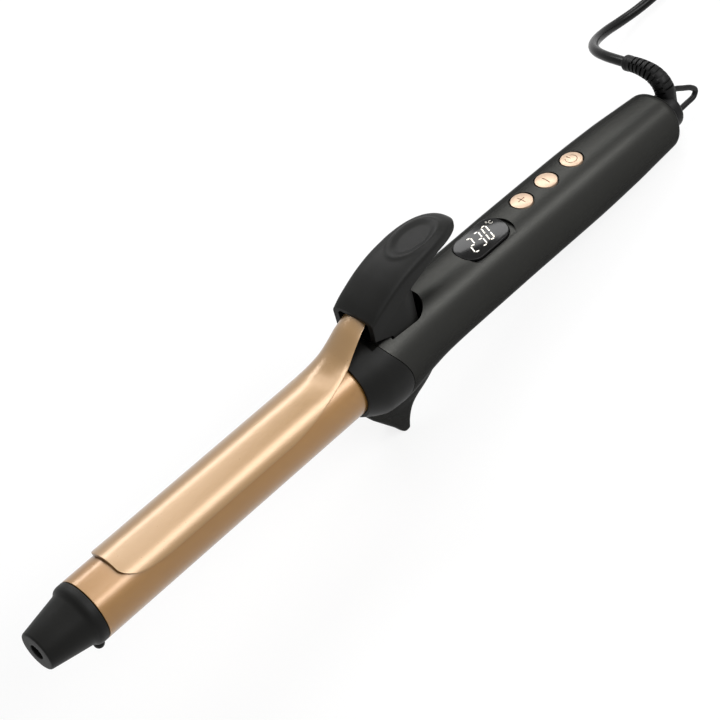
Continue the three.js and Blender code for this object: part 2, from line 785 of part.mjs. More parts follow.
// Housing: each row has a share of its length, then shares of the grip's radius for its half width,
// half height and height off the axis, and the power of its section, where 2 is an ellipse
const housingShares = [
  [0, 0.9553, 0.9553, 0, 2], [0.0223, 1.0447, 1.079, -0.0687, 2.05],
  [0.0549, 1.1409, 1.189, -0.1306, 2.15], [0.0983, 1.1821, 1.2096, -0.1306, 2.15],
  [0.1418, 1.1546, 1.1615, -0.1031, 2.15], [0.1852, 1.0928, 1.0928, -0.0687, 2.2],
  [0.2395, 1.0309, 1.0309, -0.0481, 2.3], [0.3047, 1.0034, 1.0034, -0.0412, 2.4],
  [0.4785, 1, 0.9966, -0.0412, 2.4], [0.598, 0.9966, 0.9931, -0.055, 2.4],
  [0.723, 0.9897, 0.9897, -0.0756, 2.4], [0.8588, 0.9485, 0.9485, -0.0962, 2.4],
  [0.9457, 0.8935, 0.8935, -0.1168, 2.35], [1, 0.8591, 0.8591, -0.1306, 2.3],
];
const housingLength = handleRear - handleEdgeRound - collarFront;
const housingRows = housingShares.map(([along, width, height, offset, power]) => [
  collarFront + along * housingLength,
  width * gripRadius,
  height * gripRadius,
  offset * gripRadius,
  power,
]);

function housingForm() {
  const points = 40;
  const rows = [...housingRows];
  const last = housingRows.at(-1);
  for (const angle of [22, 45, 67, 90]) {
    const x = handleRear - handleEdgeRound * (1 - Math.sin(angle * degree));
    const inset = handleEdgeRound * (1 - Math.cos(angle * degree));
    rows.push([x, last[1] - inset, last[2] - inset, last[3], last[4]]);
  }
  return loft(rows.map(([x, w, h, z, power]) => crossRing(x, w, h, z, power, points)));
}

function housingCavity() {
  const within = housingRows.map(([x]) => x).filter((x) => x > cavityFront && x < cavityRear - handleWall);
  return loft([cavityFront, ...within, cavityRear].map((x) => {
    const [, w, h, z, power] = between(housingRows, x);
    return crossRing(x, w - handleWall, h - handleWall, z, power, 24);
  }));
}

// The collar's outline seen from the side: it ends in a round tongue set into the handle.
// Its points are shares of the collar's reach behind its front, and of the barrel's radius.
const tongueTopShares = [0.6946, 1.08];
const tongueCurveShares = [
  [[0.7685, 0.72], [0.9901, 0.32], [1, -0.32]],
  [[1, -0.88], [0.8177, -1.2], [0.5714, -1.2]],
  [[0.3744, -1.2], [0.202, -1.072], [0, -0.896]],
];

function collarOutline(gap) {
  const shape = new THREE.Shape();
  const place = ([along, high]) => [collarFront + along * collarReach, high * barrelRadius];
  const [upperCurve, lowerCurve, underCurve] = tongueCurveShares.map((curve) => curve.map(place));
  const [topX, topZ] = place(tongueTopShares);
  const front = collarFront - cutOverrun;
  shape.moveTo(front, 2 * barrelRadius);
  shape.lineTo(topX + gap, 2 * barrelRadius);
  shape.lineTo(topX + gap, topZ);
  shape.bezierCurveTo(...upperCurve.flatMap(([x, z]) => [x + gap, z]));
  const [bulge, turn, under] = lowerCurve;
  shape.bezierCurveTo(bulge[0] + gap, bulge[1], turn[0] + gap, turn[1] - gap, under[0], under[1] - gap);
  const [first, second, last] = underCurve;
  shape.bezierCurveTo(first[0], first[1] - gap, second[0], second[1] - gap, front, last[1] - gap);
  shape.closePath();
  return shape;
}

// Foot: shares of its reach below the axis, of its length before and behind its rear edge,
// and of its half width
const footShares = [
  [0.1648, 1, 1.2727, 2.6923], [0.3297, 1, 1.1307, 2.3846], [0.4396, 0.983, 0.9886, 2.0769],
  [0.5357, 0.9432, 0.7955, 1.8077], [0.6181, 0.8693, 0.5568, 1.5769], [0.6868, 0.7614, 0.3636, 1.4423],
  [0.7692, 0.625, 0.2216, 1.3077], [0.8516, 0.4886, 0.1364, 1.1923], [0.9341, 0.3523, 0.0682, 1.0962],
];
const footEndShare = 0.1818; // of the foot's length, at the table
const footSquareness = 3;

function footForm() {
  const rows = footShares.map(([drop, front, rear, width]) => [
    -drop * footReach,
    footRear - front * footLength,
    footRear + rear * footLength,
    width * footHalfWidth,
  ]);
  rows.push([-footReach - cutOverrun, footRear - footEndShare * footLength, footRear, footHalfWidth]);
  return loft(rows.map(([z, front, rear, halfWidth]) => {
    const ring = crossRing(0, halfWidth, (rear - front) / 2, 0, footSquareness, 28);
    return ring.map((point) => new THREE.Vector3((front + rear) / 2 + point.z, point.y, z));
  }));
}

// The lean that sets the iron on its foot and heel.
const lean = Math.atan2(footReach - heelReach, heelAt - footRear);

// Everything below the table, in the iron's own place.
function belowTable() {
  const size = 2 * handleRear;
  const slab = block([-size, size], [-size, size], [-size, 0]);
  slab.rotateY(-lean);
  slab.translate(footRear, 0, -footReach);
  return slab;
}

function collar() {
  const tongue = throughWidth(collarOutline(0), -2 * barrelRadius, 2 * barrelRadius);
  const ends = [collarFront - cutOverrun, barrelRear + seatGap];
  const bore = rod('x', ...ends, barrelRadius + seatGap, [0, 0], lathePoints);
  const front = collarFront + collarLip;
  let body = solid(housingForm()).intersect(solid(tongue)).subtract(solid(bore));
  body = body.subtract(solid(rod('x', front, 2 * front, wireDuctRadius, [0, wireDuctHeight], 20)));
  return surface(body.subtract(pocketForm()));
}

function pocketFloor() {
  return pivotHeight - cheekRadius - pocketFloorGap;
}

// The pocket for the lever's cheeks: a deep well, and a shallow shelf in front of it.
function pocketForm() {
  const top = 3 * barrelRadius;
  const outline = oblong(pocketFront, pocketRear, pocketHalfWidth, seatGap, pocketRound);
  const well = solid(upwards(outline, pocketFloor(), top));
  const across = [-shelfHalfWidth, shelfHalfWidth];
  const shelf = block([shelfFront, pocketFront + cutOverrun], across, [shelfFloor, top]);
  return well.add(solid(shelf));
}

// Turns a form built about the barrel's axis to face the display's way.
function rolled(geometry) {
  return geometry.rotateX(lensRoll * degree);
}

function lensForm(gap, low, high) {
  const rounds = [lensFrontRound + gap, lensRearRound + gap];
  const shape = oblong(lensFront - gap, lensRear + gap, lensHalfWidth + gap, ...rounds);
  return rolled(upwards(shape, low, high));
}

function buttonPlace(index) {
  return collarFront + buttonShares[index] * handleLength;
}

function buttonHeight(index) {
  const [, , halfHeight, height] = between(housingRows, buttonPlace(index));
  return halfHeight + height;
}

function handleShell() {
  let shell = solid(housingForm()).add(solid(footForm()));
  const tongue = throughWidth(collarOutline(seatGap), -2 * barrelRadius, 2 * barrelRadius);
  const barrelPath = rod('x', 0, barrelRear + 2 * seatGap, barrelRadius + seatGap, [0, 0], lathePoints);
  const duct = rod('x', barrelRear, cavityFront + cutOverrun, wireDuctRadius, [0, wireDuctHeight], 20);
  const pinHole = rod('y', -pinHalfLength, pinHalfLength, pinRadius + seatGap, [pivotAt, pivotHeight], 20);
  const rearEnds = [cavityRear - cutOverrun, handleRear + cutOverrun];
  const rearHole = rod('x', ...rearEnds, bushOuterRadius + seatGap, [0, swivelHeight], 28);
  for (const cut of [tongue, barrelPath, duct, pinHole, rearHole, housingCavity(), belowTable()]) {
    shell = shell.subtract(solid(cut));
  }
  shell = shell.subtract(pocketForm());
  shell = shell.subtract(solid(lensForm(seatGap, lensHeight - lensThickness - seatGap, 2 * lensHeight)));
  const ledge = lensForm(seatGap, lensHeight - ledgeDrop, 2 * lensHeight);
  shell = shell.subtract(solid(ledge.translate(ledgeBehind, -ledgeWidth, 0)));
  const windowHigh = lensHeight - lensThickness;
  shell = shell.subtract(solid(lensForm(-moduleMargin, windowHigh / 2, windowHigh)));
  for (let k = 0; k < buttonNames.length; k += 1) {
    const hole = rod('z', 0, 2 * buttonTop, buttonRadius + buttonRing, [buttonPlace(k), 0], 32);
    shell = shell.subtract(solid(hole));
  }
  for (const at of screwPlaces) {
    shell = shell.subtract(solid(screwHole(at)));
  }
  return surface(shell);
}

// Hole and sunk seat for a screw under the handle.
function screwHole(at) {
  const [, , halfHeight, height] = between(housingRows, at);
  const underside = height - halfHeight;
  const profile = [
    new THREE.Vector2(0, underside - cutOverrun),
    new THREE.Vector2(screwHeadRadius + seatGap, underside - cutOverrun),
    new THREE.Vector2(screwHeadRadius + seatGap, underside + screwSink),
    new THREE.Vector2(screwRadius + seatGap, underside + screwSink),
    new THREE.Vector2(screwRadius + seatGap, underside + 2 * handleWall),
    new THREE.Vector2(0, underside + 2 * handleWall),
  ];
  const geometry = new THREE.LatheGeometry(profile, 20);
  geometry.rotateX(Math.PI / 2);
  geometry.translate(at, 0, 0);
  return facingOutOf(geometry);
}

function screw(at) {
  const [, , halfHeight, height] = between(housingRows, at);
  const seat = height - halfHeight + screwSink - seatGap;
  const profile = [
    new THREE.Vector2(0, seat - screwHeadHeight + socketDepth / 2),
    new THREE.Vector2(socketRadius, seat - screwHeadHeight + socketDepth / 2),
    new THREE.Vector2(socketRadius, seat - screwHeadHeight),
    new THREE.Vector2(screwHeadRadius - socketDepth / 3, seat - screwHeadHeight),
    new THREE.Vector2(screwHeadRadius, seat - screwHeadHeight + socketDepth / 3),
    new THREE.Vector2(screwHeadRadius, seat),
    new THREE.Vector2(screwRadius, seat),
    new THREE.Vector2(screwRadius, seat + screwLength - screwRadius),
    new THREE.Vector2(0, seat + screwLength),
  ];
  const geometry = new THREE.LatheGeometry(profile, 20);
  geometry.rotateX(Math.PI / 2);
  geometry.translate(at, 0, 0);
  return facingOutOf(geometry);
}

// Display, buttons and the parts that carry them

function displayLens() {
  return lensForm(0, lensHeight - lensThickness, lensHeight);
}

function displayModule() {
  const top = lensHeight - lensThickness - seatGap;
  return lensForm(-moduleMargin - seatGap, top - moduleThickness, top);
}

function button(index) {
  const at = buttonPlace(index);
  const top = buttonHeight(index);
  const under = housingUnder(at);
  const profile = [new THREE.Vector2(0, under - seatGap - buttonFlange - seatGap)];
  profile.push(new THREE.Vector2(buttonFlangeRadius, under - seatGap - buttonFlange - seatGap));
  profile.push(new THREE.Vector2(buttonFlangeRadius, under - 2 * seatGap));
  profile.push(new THREE.Vector2(buttonRadius, under - 2 * seatGap));
  profile.push(new THREE.Vector2(buttonRadius, top - buttonCrown / 3));
  profile.push(new THREE.Vector2(buttonRadius - buttonCrown, top + buttonCrown / 3));
  profile.push(new THREE.Vector2(buttonRadius / 2, top + 0.8 * buttonCrown));
  profile.push(new THREE.Vector2(0, top + buttonCrown));
  const geometry = new THREE.LatheGeometry(profile, 24);
  geometry.rotateX(Math.PI / 2);
  geometry.translate(at, 0, 0);
  return facingOutOf(geometry);
}

// Height of the roof of the handle's cavity where a button's flange ends, beside the crown.
function housingUnder(at) {
  const [, halfWidth, halfHeight, height, power] = between(housingRows, at);
  const share = buttonFlangeRadius / (halfWidth - handleWall);
  return height + (halfHeight - handleWall) * (1 - share ** power) ** (1 / power);
}

function tactSwitch(index) {
  const at = buttonPlace(index);
  const flangeUnder = housingUnder(at) - seatGap - buttonFlange - seatGap;
  const low = boardTop + seatGap;
  const bodyTop = Math.min(low + switchHeight, flangeUnder - 2 * buttonTravel - seatGap);
  const half = switchSize / 2;
  const body = solid(block([at - half, at + half], [-half, half], [low, bodyTop]));
  const plunger = rod('z', low, flangeUnder - buttonTravel - seatGap, plungerRadius, [at, 0], 12);
  return surface(body.add(solid(plunger)));
}

function controlBoard() {
  const across = [-boardHalfWidth, boardHalfWidth];
  return block([boardFront, boardRear], across, [boardTop - boardThickness, boardTop]);
}

function chassis() {
  const top = boardTop - boardThickness - seatGap - chassisRibHeight;
  const body = [-chassisHalfWidth, chassisHalfWidth];
  let form = solid(block([chassisFront, chassisRear], body, [top - chassisThickness, top]));
  for (const share of chassisRibShares) {
    const at = THREE.MathUtils.lerp(boardFront, boardRear, share);
    const rib = block(
      [at, at + chassisThickness],
      [-boardHalfWidth, boardHalfWidth],
      [top - chassisThickness / 2, top + chassisRibHeight],
    );
    form = form.add(solid(rib));
  }
  for (const at of screwPlaces) {
    const [, , halfHeight, height] = between(housingRows, at);
    const floor = height - halfHeight + handleWall + seatGap;
    form = form.add(solid(rod('z', floor, top - chassisThickness / 2, screwBossRadius, [at, 0], 20)));
    const bore = rod('z', floor - cutOverrun, floor + screwLength, screwRadius + seatGap, [at, 0], 16);
    form = form.subtract(solid(bore));
  }
  return surface(form);
}

// Swivel

function swivelBush() {
  return ringOf([
    [bushFront, bushRadius],
    [bushFront, bushOuterRadius],
    [handleRear - seatGap, bushOuterRadius],
    [handleRear - seatGap, bushRadius],
  ], swivelHeight, 28);
}

function swivelClip() {
  const inside = spindleRadius - clipGroove + seatGap;
  const rear = bushFront - seatGap;
  return ringOf([
    [rear - clipThickness, inside], [rear - clipThickness, clipRadius], [rear, clipRadius], [rear, inside],
  ], swivelHeight, 28);
}

function contactRing(at) {
  const inside = noseRadius + seatGap;
  const rear = at + ringWidth;
  return ringOf([[at, inside], [at, ringRadius], [rear, ringRadius], [rear, inside]], swivelHeight, 24);
}

function brushBlock() {
  const low = swivelHeight - ringRadius - seatGap - brushHeight;
  const front = ringPlaces[0] - ringWidth / 2;
  return block([front, front + brushLength], [-brushWidth / 2, brushWidth / 2], [low, low + brushHeight]);
}

// Strain relief: its centre line rises from the hub and bends away to the far side.
// The lines of the relief and the loop are shares of the hub's radius from the swivel's middle.
const reliefShares = [
  [0.5875, 0, 0], [0.6375, 0.05, 0.5625], [0.675, 0.1125, 1.15], [0.6875, 0.35, 1.6],
  [0.6875, 0.7375, 1.9], [0.6875, 1.2125, 2.0375], [0.7125, 1.75, 2.0625], [0.7625, 2.55, 1.9625],
];
const loopShares = [
  [0.625, 0, 1.05], [1.25, 0, 0.8625], [1.9375, 0, 0.475], [2.5625, 0, 0.0875], [2.85, 0, -0.25],
  [2.6875, 0, -0.525], [2.0625, 0, -0.5875], [1.3125, 0, -0.6125], [0.625, 0, -0.6125],
];

function behindHandle(shares) {
  return shares.map(([back, aside, up]) => new THREE.Vector3(
    handleRear + back * hubRadius,
    aside * hubRadius,
    swivelHeight + up * hubRadius,
  ));
}

const reliefLine = new THREE.CatmullRomCurve3(behindHandle(reliefShares), false, 'centripetal');
const reliefLength = reliefLine.getLength();

function reliefRadiusAt(length) {
  const share = THREE.MathUtils.smoothstep(length, reliefLength / 4, reliefLength);
  const plain = reliefStartRadius + (reliefEndRadius - reliefStartRadius) * share;
  return length > reliefLength - reliefCapLength ? reliefCapRadius : plain;
}

function reliefBody() {
  const points = [];
  const radii = [];
  const lengths = [];
  const plainLength = reliefLength - reliefCapLength;
  for (let k = 0; k < reliefSteps; k += 1) lengths.push((plainLength * k) / (reliefSteps - 1));
  lengths.push(reliefLength - reliefCapLength + seatGap, reliefLength - reliefCapLength / 4, reliefLength);
  for (const length of lengths) {
    points.push(reliefLine.getPointAt(length / reliefLength));
    radii.push(length === reliefLength ? reliefCapRadius - seatGap : reliefRadiusAt(length));
  }
  return tube(points, radii, reliefSides, new THREE.Vector3(1, 0, 0));
}

// A slot's cutter, laid across the relief at a length along it, on one of its sides.
function slotCutter(length, turn) {
  const reach = reliefRadiusAt(length);
  const cutter = new THREE.BoxGeometry(slotWidth, 2 * slotDepth, 1.5 * reach);
  const at = reliefLine.getPointAt(length / reliefLength);
  const along = reliefLine.getTangentAt(length / reliefLength);
  const side = new THREE.Vector3(1, 0, 0);
  side.sub(along.clone().multiplyScalar(side.dot(along))).normalize();
  side.applyAxisAngle(along, turn);
  const third = along.clone().cross(side);
  const frame = new THREE.Matrix4().makeBasis(along, side, third);
  frame.setPosition(at.addScaledVector(side, reach));
  return cutter.applyMatrix4(frame);
}

function hangingLoop() {
  const line = new THREE.CatmullRomCurve3(behindHandle(loopShares), false, 'centripetal');
  return tube(line.getSpacedPoints(loopSteps), loopWire, loopSides, new THREE.Vector3(0, 1, 0));
}

function swivelHub() {
  const hubFront = handleRear + seatGap;
  const hubRear = hubFront + hubLength;
  const groove = bushFront - seatGap - clipThickness - seatGap;
  return revolved([
    [noseFront, 0],
    [noseFront, noseRadius],
    [spindleFront, noseRadius],
    [spindleFront, spindleRadius],
    [groove, spindleRadius],
    [groove, spindleRadius - clipGroove],
    [bushFront, spindleRadius - clipGroove],
    [bushFront, spindleRadius],
    [hubFront, spindleRadius],
    [hubFront, hubRadius],
    [hubRear - hubRound, hubRadius],
    [hubRear - hubRound / 3, hubRadius - hubRound / 3],
    [hubRear, hubRadius - hubRound],
    [hubRear, 0],
  ], swivelHeight, 28);
}

function strainRelief() {
  let body = solid(swivelHub()).add(solid(reliefBody())).add(solid(hangingLoop()));
  for (let k = 0; k < sideSlots; k += 1) {
    for (const turn of [0, Math.PI]) {
      body = body.subtract(solid(slotCutter(firstSlotAt + slotPitch * k, turn)));
    }
  }
  for (let k = 0; k < topSlots; k += 1) {
    for (const turn of [Math.PI / 2, 1.5 * Math.PI]) {
      body = body.subtract(solid(slotCutter(firstSlotAt + slotPitch * (k + 0.5), turn)));
    }
  }
  return surface(body);
}

// The cord lies on the table, in the part's own frame: its centre line from the relief to the hank.
const cordRoute = [
  [166.09, 18.88, 26.24], [166.4, 24, 25.5], [167.4, 31, 24], [170, 38.5, 21.4], [175, 45.5, 17.6],
  [182.5, 51, 13], [192, 54.2, 8.8], [202, 54.9, 5.7], [212, 54.3, 4], [223, 53.3, 3.45], [234, 53, 3.35],
  [246, 52.95, 3.35], [258.55, 52.95, 3.35],
];

function cordTube() {
  const section = new THREE.Shape();
  section.absarc(0, 0, cordRadius, 0, 2 * Math.PI, false);
  const path = new THREE.CatmullRomCurve3(cordRoute.map(vector), false, 'centripetal');
  return new THREE.ExtrudeGeometry(section, {
    steps: cordSteps, curveSegments: cordSides / 2, extrudePath: path, bevelEnabled: false,
  });
}

const hankOuter = hankInner + hankPitch * hankTurnsPerLayer;
const hankLow = cordLift + tieThickness + seatGap + cordRadius;

// A point on the hank after a number of turns: it spirals in, climbs one layer and spirals out.
function hankPoint(turns) {
  const inward = turns < hankTurnsPerLayer;
  const within = inward ? turns : turns - hankTurnsPerLayer;
  const runTurns = hankRunSteps / (hankRunSteps + hankBendSteps) / 2;
  const outward = Math.max(within - runTurns, 0);
  const reach = inward ? hankOuter - hankPitch * within : hankInner + hankPitch * outward;
  const phase = turns - Math.floor(turns + 1e-9);
  const half = phase < 0.5 ? phase * 2 : phase * 2 - 1;
  const way = phase < 0.5 ? 1 : -1;
  const runShare = hankRunSteps / (hankRunSteps + hankBendSteps);
  const climb = inward ? 0 : Math.min(within / runTurns, 1);
  const height = hankLow + hankLayerPitch * climb;
  if (half < runShare) {
    const along = 2 * (half / runShare) - 1;
    const drawIn = (hankDrawIn * (1 + Math.cos(Math.PI * along))) / 2;
    const across = way * (reach - drawIn);
    return new THREE.Vector3(hankAt[0] + way * along * hankHalfRun, hankAt[1] + across, height);
  }
  const angle = (Math.PI * (half - runShare)) / (1 - runShare);
  return new THREE.Vector3(
    hankAt[0] + way * (hankHalfRun + reach * Math.sin(angle)),
    hankAt[1] + way * reach * Math.cos(angle),
    height,
  );
}

// The hank's centre line, with its last run bending out to the plug that lies beside it.
function hankLine() {
  const points = [hankPoint(0).setX(hankAt[0] - hankHalfRun - 2 * cordRadius)];
  const perTurn = 2 * (hankRunSteps + hankBendSteps);
  for (let k = 0; k <= hankTurns * perTurn; k += 1) points.push(hankPoint(k / perTurn));
  const from = points.at(-1);
  const plug = plugPlace();
  const neck = plug.x + seatGap;
  for (let k = 1; k <= leadSteps; k += 1) {
    const share = k / leadSteps;
    const ease = THREE.MathUtils.smootherstep(share, 0, 0.92);
    points.push(new THREE.Vector3(
      THREE.MathUtils.lerp(from.x, neck, share),
      THREE.MathUtils.lerp(from.y, plug.y, ease),
      THREE.MathUtils.lerp(from.z, plug.z, ease),
    ));
  }
  return points;
}

// Where the cord meets the plug, whose pins point back towards the handle.
function plugPlace() {
  return new THREE.Vector3(
    hankAt[0] - hankHalfRun + plugBehind,
    hankAt[1] - plugSide,
    cordLift + plugHalfHeight,
  );
}

// Prints a tube's length and its least gap to itself, measured from points to stretches.
function measure(name, points, radius) {
  let length = 0;
  const lengths = [0];
  for (let k = 1; k < points.length; k += 1) {
    length += points[k].distanceTo(points[k - 1]);
    lengths.push(length);
  }
  let least = Infinity;
  const nearest = new THREE.Vector3();
  for (let k = 0; k < points.length; k += 1) {
    for (let n = 0; n + 1 < points.length; n += 1) {
      const apart = Math.min(Math.abs(lengths[k] - lengths[n]), Math.abs(lengths[k] - lengths[n + 1]));
      if (apart < 6 * radius) continue;
      new THREE.Line3(points[n], points[n + 1]).closestPointToPoint(points[k], true, nearest);
      least = Math.min(least, nearest.distanceTo(points[k]) - 2 * radius);
    }
  }
  console.log(`${name}: length ${length.toFixed(1)} mm, least gap to itself ${least.toFixed(2)} mm`);
  return length;
}

function hankTube() {
  return tube(hankLine(), cordRadius, hankSides, new THREE.Vector3(0, 0, 1));
}

// A flat band round the hank's waist.
function hankTie() {
  const reach = hankOuter - hankDrawIn + cordRadius + seatGap;
  const low = cordLift + tieThickness;
  const high = hankLow + hankLayerPitch + cordRadius + seatGap;
  const band = (grow) => {
    const round = cordRadius + grow;
    const shape = oblong(low - grow, high + grow, reach + grow, round, round);
    const geometry = extruded(shape, tieWidth, 4);
    geometry.rotateY(-Math.PI / 2);
    geometry.translate(hankAt[0] + tieWidth / 2, hankAt[1], 0);
    return geometry;
  };
  const hole = band(0).translate(-hankAt[0], 0, 0).scale(2, 1, 1).translate(hankAt[0], 0, 0);
  return surface(solid(band(tieThickness)).subtract(solid(hole)));
}

function plugBody() {
  const place = plugPlace();
  const rows = [
    [0, plugNeckRadius, plugNeckRadius, 2], [plugNeckLength, plugNeckRadius, plugNeckRadius, 2],
    [plugNeckLength + plugFaceRound, 0.62 * plugHalfWidth, 0.8 * plugHalfHeight, 2.6],
    [plugLength - 2 * plugFaceRound, 0.93 * plugHalfWidth, plugHalfHeight, 4],
    [plugLength - plugFaceRound / 4, plugHalfWidth, plugHalfHeight, 5],
    [plugLength, plugHalfWidth - plugFaceRound / 4, plugHalfHeight - plugFaceRound / 4, 5],
  ];
  const rings = rows.map(([back, width, height, power]) => crossRing(-back, width, height, 0, power, 28));
  const body = loft(rings).translate(place.x, place.y, place.z);
  let form = solid(body);
  for (const side of [-1, 1]) {
    const at = [place.y + side * plugPinHalfSpacing, place.z];
    const face = place.x - plugLength;
    const socket = rod('x', face - cutOverrun, face + plugSocketDepth, plugPinRadius + seatGap, at, 16);
    form = form.subtract(solid(socket));
  }
  return surface(form);
}

function plugPin(side) {
  const place = plugPlace();
  const face = place.x - plugLength;
  const end = face - plugPinLength;
  const profile = [
    [end, 0], [end, plugPinRadius / 2], [end + plugPinRadius / 2, plugPinRadius],
    [face + plugSocketDepth - seatGap, plugPinRadius], [face + plugSocketDepth - seatGap, 0],
  ];
  return revolved(profile, 0, 16).translate(0, place.y + side * plugPinHalfSpacing, place.z);
}

const looks = {
  gold: { color: 0xb88a5e, roughness: 0.3, metalness: 1 },
  lacquer: { color: 0x2e2f31, roughness: 0.42, metalness: 0.35 },
  black: { color: 0x1c1c1d, roughness: 0.6, metalness: 0 },
  rubber: { color: 0x161616, roughness: 0.55, metalness: 0 },
  lens: { color: 0x070808, roughness: 0.08, metalness: 0 },
  button: { color: 0xd9a986, roughness: 0.35, metalness: 0.7 },
  steel: { color: 0x9a9c9e, roughness: 0.3, metalness: 1 },
  aluminium: { color: 0xc4c6c8, roughness: 0.4, metalness: 1 },
  ceramic: { color: 0xd8d5cc, roughness: 0.7, metalness: 0 },
  board: { color: 0x1f5a3a, roughness: 0.6, metalness: 0 },
  brass: { color: 0xc9a24a, roughness: 0.35, metalness: 1 },
};

function piece(name, geometry, look) {
  const mesh = new THREE.Mesh(geometry, new THREE.MeshStandardMaterial(looks[look]));
  mesh.name = name;
  return mesh;
}

const iron = new THREE.Group();
iron.add(piece('tip_cap', tipCap(), 'black'));
iron.add(piece('tip_screw', tipScrew(), 'steel'));
iron.add(piece('barrel', barrel(), 'gold'));
iron.add(piece('heater_core_upper', heaterHalf(1), 'aluminium'));
iron.add(piece('heater_core_lower', heaterHalf(-1), 'aluminium'));
iron.add(piece('heating_plate', heatingPlate(), 'ceramic'));
iron.add(piece('thermostat', thermostat(), 'steel'));
iron.add(piece('clamp_plate', clampPlate(), 'gold'));
iron.add(piece('thumb_lever', thumbLever(), 'black'));
rivetPlaces.forEach((at, k) => iron.add(piece(`clamp_rivet_${k + 1}`, rivet(at), 'steel')));
iron.add(piece('pivot_pin', pivotPin(), 'steel'));
iron.add(piece('torsion_spring', torsionSpring(), 'steel'));
iron.add(piece('collar', collar(), 'black'));
iron.add(piece('handle_shell', handleShell(), 'lacquer'));
iron.add(piece('display_lens', displayLens(), 'lens'));
iron.add(piece('display_module', displayModule(), 'board'));
buttonNames.forEach((name, k) => iron.add(piece(name, button(k), 'button')));
buttonNames.forEach((name, k) => iron.add(piece(name.replace('button', 'switch'), tactSwitch(k), 'black')));
iron.add(piece('control_board', controlBoard(), 'board'));
iron.add(piece('chassis', chassis(), 'black'));
screwPlaces.forEach((at, k) => iron.add(piece(`handle_screw_${k + 1}`, screw(at), 'steel')));
iron.add(piece('swivel_bush', swivelBush(), 'black'));
iron.add(piece('swivel_clip', swivelClip(), 'steel'));
ringPlaces.forEach((at, k) => iron.add(piece(`contact_ring_${k + 1}`, contactRing(at), 'brass')));
iron.add(piece('brush_block', brushBlock(), 'brass'));
iron.add(piece('strain_relief', strainRelief(), 'rubber'));

iron.rotation.y = lean;
iron.updateMatrixWorld(true);
const box = new THREE.Box3().setFromObject(iron, true);
iron.position.set(-(box.min.x + box.max.x) / 2, -(box.min.y + box.max.y) / 2, -box.min.z);
iron.updateMatrixWorld(true);

const object = new THREE.Group();
object.add(iron);
object.add(piece('cord', cordTube(), 'rubber'));
object.add(piece('cord_hank', hankTube(), 'rubber'));
object.add(piece('hank_tie', hankTie(), 'black'));
object.add(piece('plug_body', plugBody(), 'black'));
object.add(piece('plug_pin_left', plugPin(-1), 'steel'));
object.add(piece('plug_pin_right', plugPin(1), 'steel'));
const freeLength = new THREE.CatmullRomCurve3(cordRoute.map(vector), false, 'centripetal').getLength();
const hankLength = measure('hank', hankLine(), cordRadius);
console.log(`free cord ${freeLength.toFixed(1)} mm, in all ${(freeLength + hankLength).toFixed(1)} mm`);
const reliefEnd = reliefLine.getPointAt(1).applyMatrix4(iron.matrixWorld);
console.log('relief ends at', reliefEnd.toArray().map((value) => value.toFixed(2)).join(' '));
const reliefWay = reliefLine.getTangentAt(1).transformDirection(iron.matrixWorld);
console.log('heading', reliefWay.toArray().map((value) => value.toFixed(3)).join(' '));
console.log('lean', (lean / degree).toFixed(3), 'degrees');

export default object;
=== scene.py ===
# %% [markdown]
# A curling iron lies on a table on its small foot, with its clamp shut and its cord put away.
# The CAD model gives every place and size. This file adds what CAD leaves plain: smooth skins,
# rounded edges, finishes, the digits in the window, the signs on the buttons and the whole cord.
# First the CAD frame is loaded.

# %% Load the frame
import json
import math
import bpy
import bmesh
from mathutils import Matrix, Vector

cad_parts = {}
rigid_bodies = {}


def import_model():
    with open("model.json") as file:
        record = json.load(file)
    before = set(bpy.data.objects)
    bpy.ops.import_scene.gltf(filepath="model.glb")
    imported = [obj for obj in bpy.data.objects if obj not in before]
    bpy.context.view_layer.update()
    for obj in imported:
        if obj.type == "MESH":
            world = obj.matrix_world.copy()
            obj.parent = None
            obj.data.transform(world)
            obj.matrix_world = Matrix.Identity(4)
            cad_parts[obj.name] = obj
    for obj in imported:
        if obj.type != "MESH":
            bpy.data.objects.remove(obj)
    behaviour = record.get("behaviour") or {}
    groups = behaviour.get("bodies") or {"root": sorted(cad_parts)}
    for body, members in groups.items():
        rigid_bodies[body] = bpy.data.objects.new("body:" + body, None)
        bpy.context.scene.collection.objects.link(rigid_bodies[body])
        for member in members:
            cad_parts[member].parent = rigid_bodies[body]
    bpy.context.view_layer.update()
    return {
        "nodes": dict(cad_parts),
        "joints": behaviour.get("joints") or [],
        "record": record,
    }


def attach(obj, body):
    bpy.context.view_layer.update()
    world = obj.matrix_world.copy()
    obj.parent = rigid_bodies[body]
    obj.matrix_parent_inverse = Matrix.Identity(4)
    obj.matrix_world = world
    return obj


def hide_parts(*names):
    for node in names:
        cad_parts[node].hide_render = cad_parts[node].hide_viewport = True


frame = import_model()

# %% [markdown]
# The iron leans on its foot, so its own axes differ from the table's. Every piece is easier to draw
# along the barrel: x is the station from the tip, y is across and z is up from the barrel's axis, in millimetres.
# The swivel joint turns about the handle's axis, so the joint gives the lean and the place.

# %% The iron's own axes
mm = 0.001
swivel_station = 341.5
swivel_height = -2.0
swivel = next(j for j in frame["joints"] if j["name"] == "cord_swivel")
along = Vector(swivel["axis"]).normalized()
across = Vector((0, 1, 0))
upward = along.cross(across)
swivel_at = Vector(swivel["pos_m"])
iron_zero = swivel_at - along * swivel_station * mm - upward * swivel_height * mm
iron_to_frame = Matrix.Identity(4)
for row in range(3):
    iron_to_frame[row][0] = along[row] * mm
    iron_to_frame[row][1] = across[row] * mm
    iron_to_frame[row][2] = upward[row] * mm
    iron_to_frame[row][3] = iron_zero[row]
lean = math.asin(-along.z)
print("barrel axis starts at", [round(v, 4) for v in iron_zero], "and leans", round(math.degrees(lean), 2), "degrees")

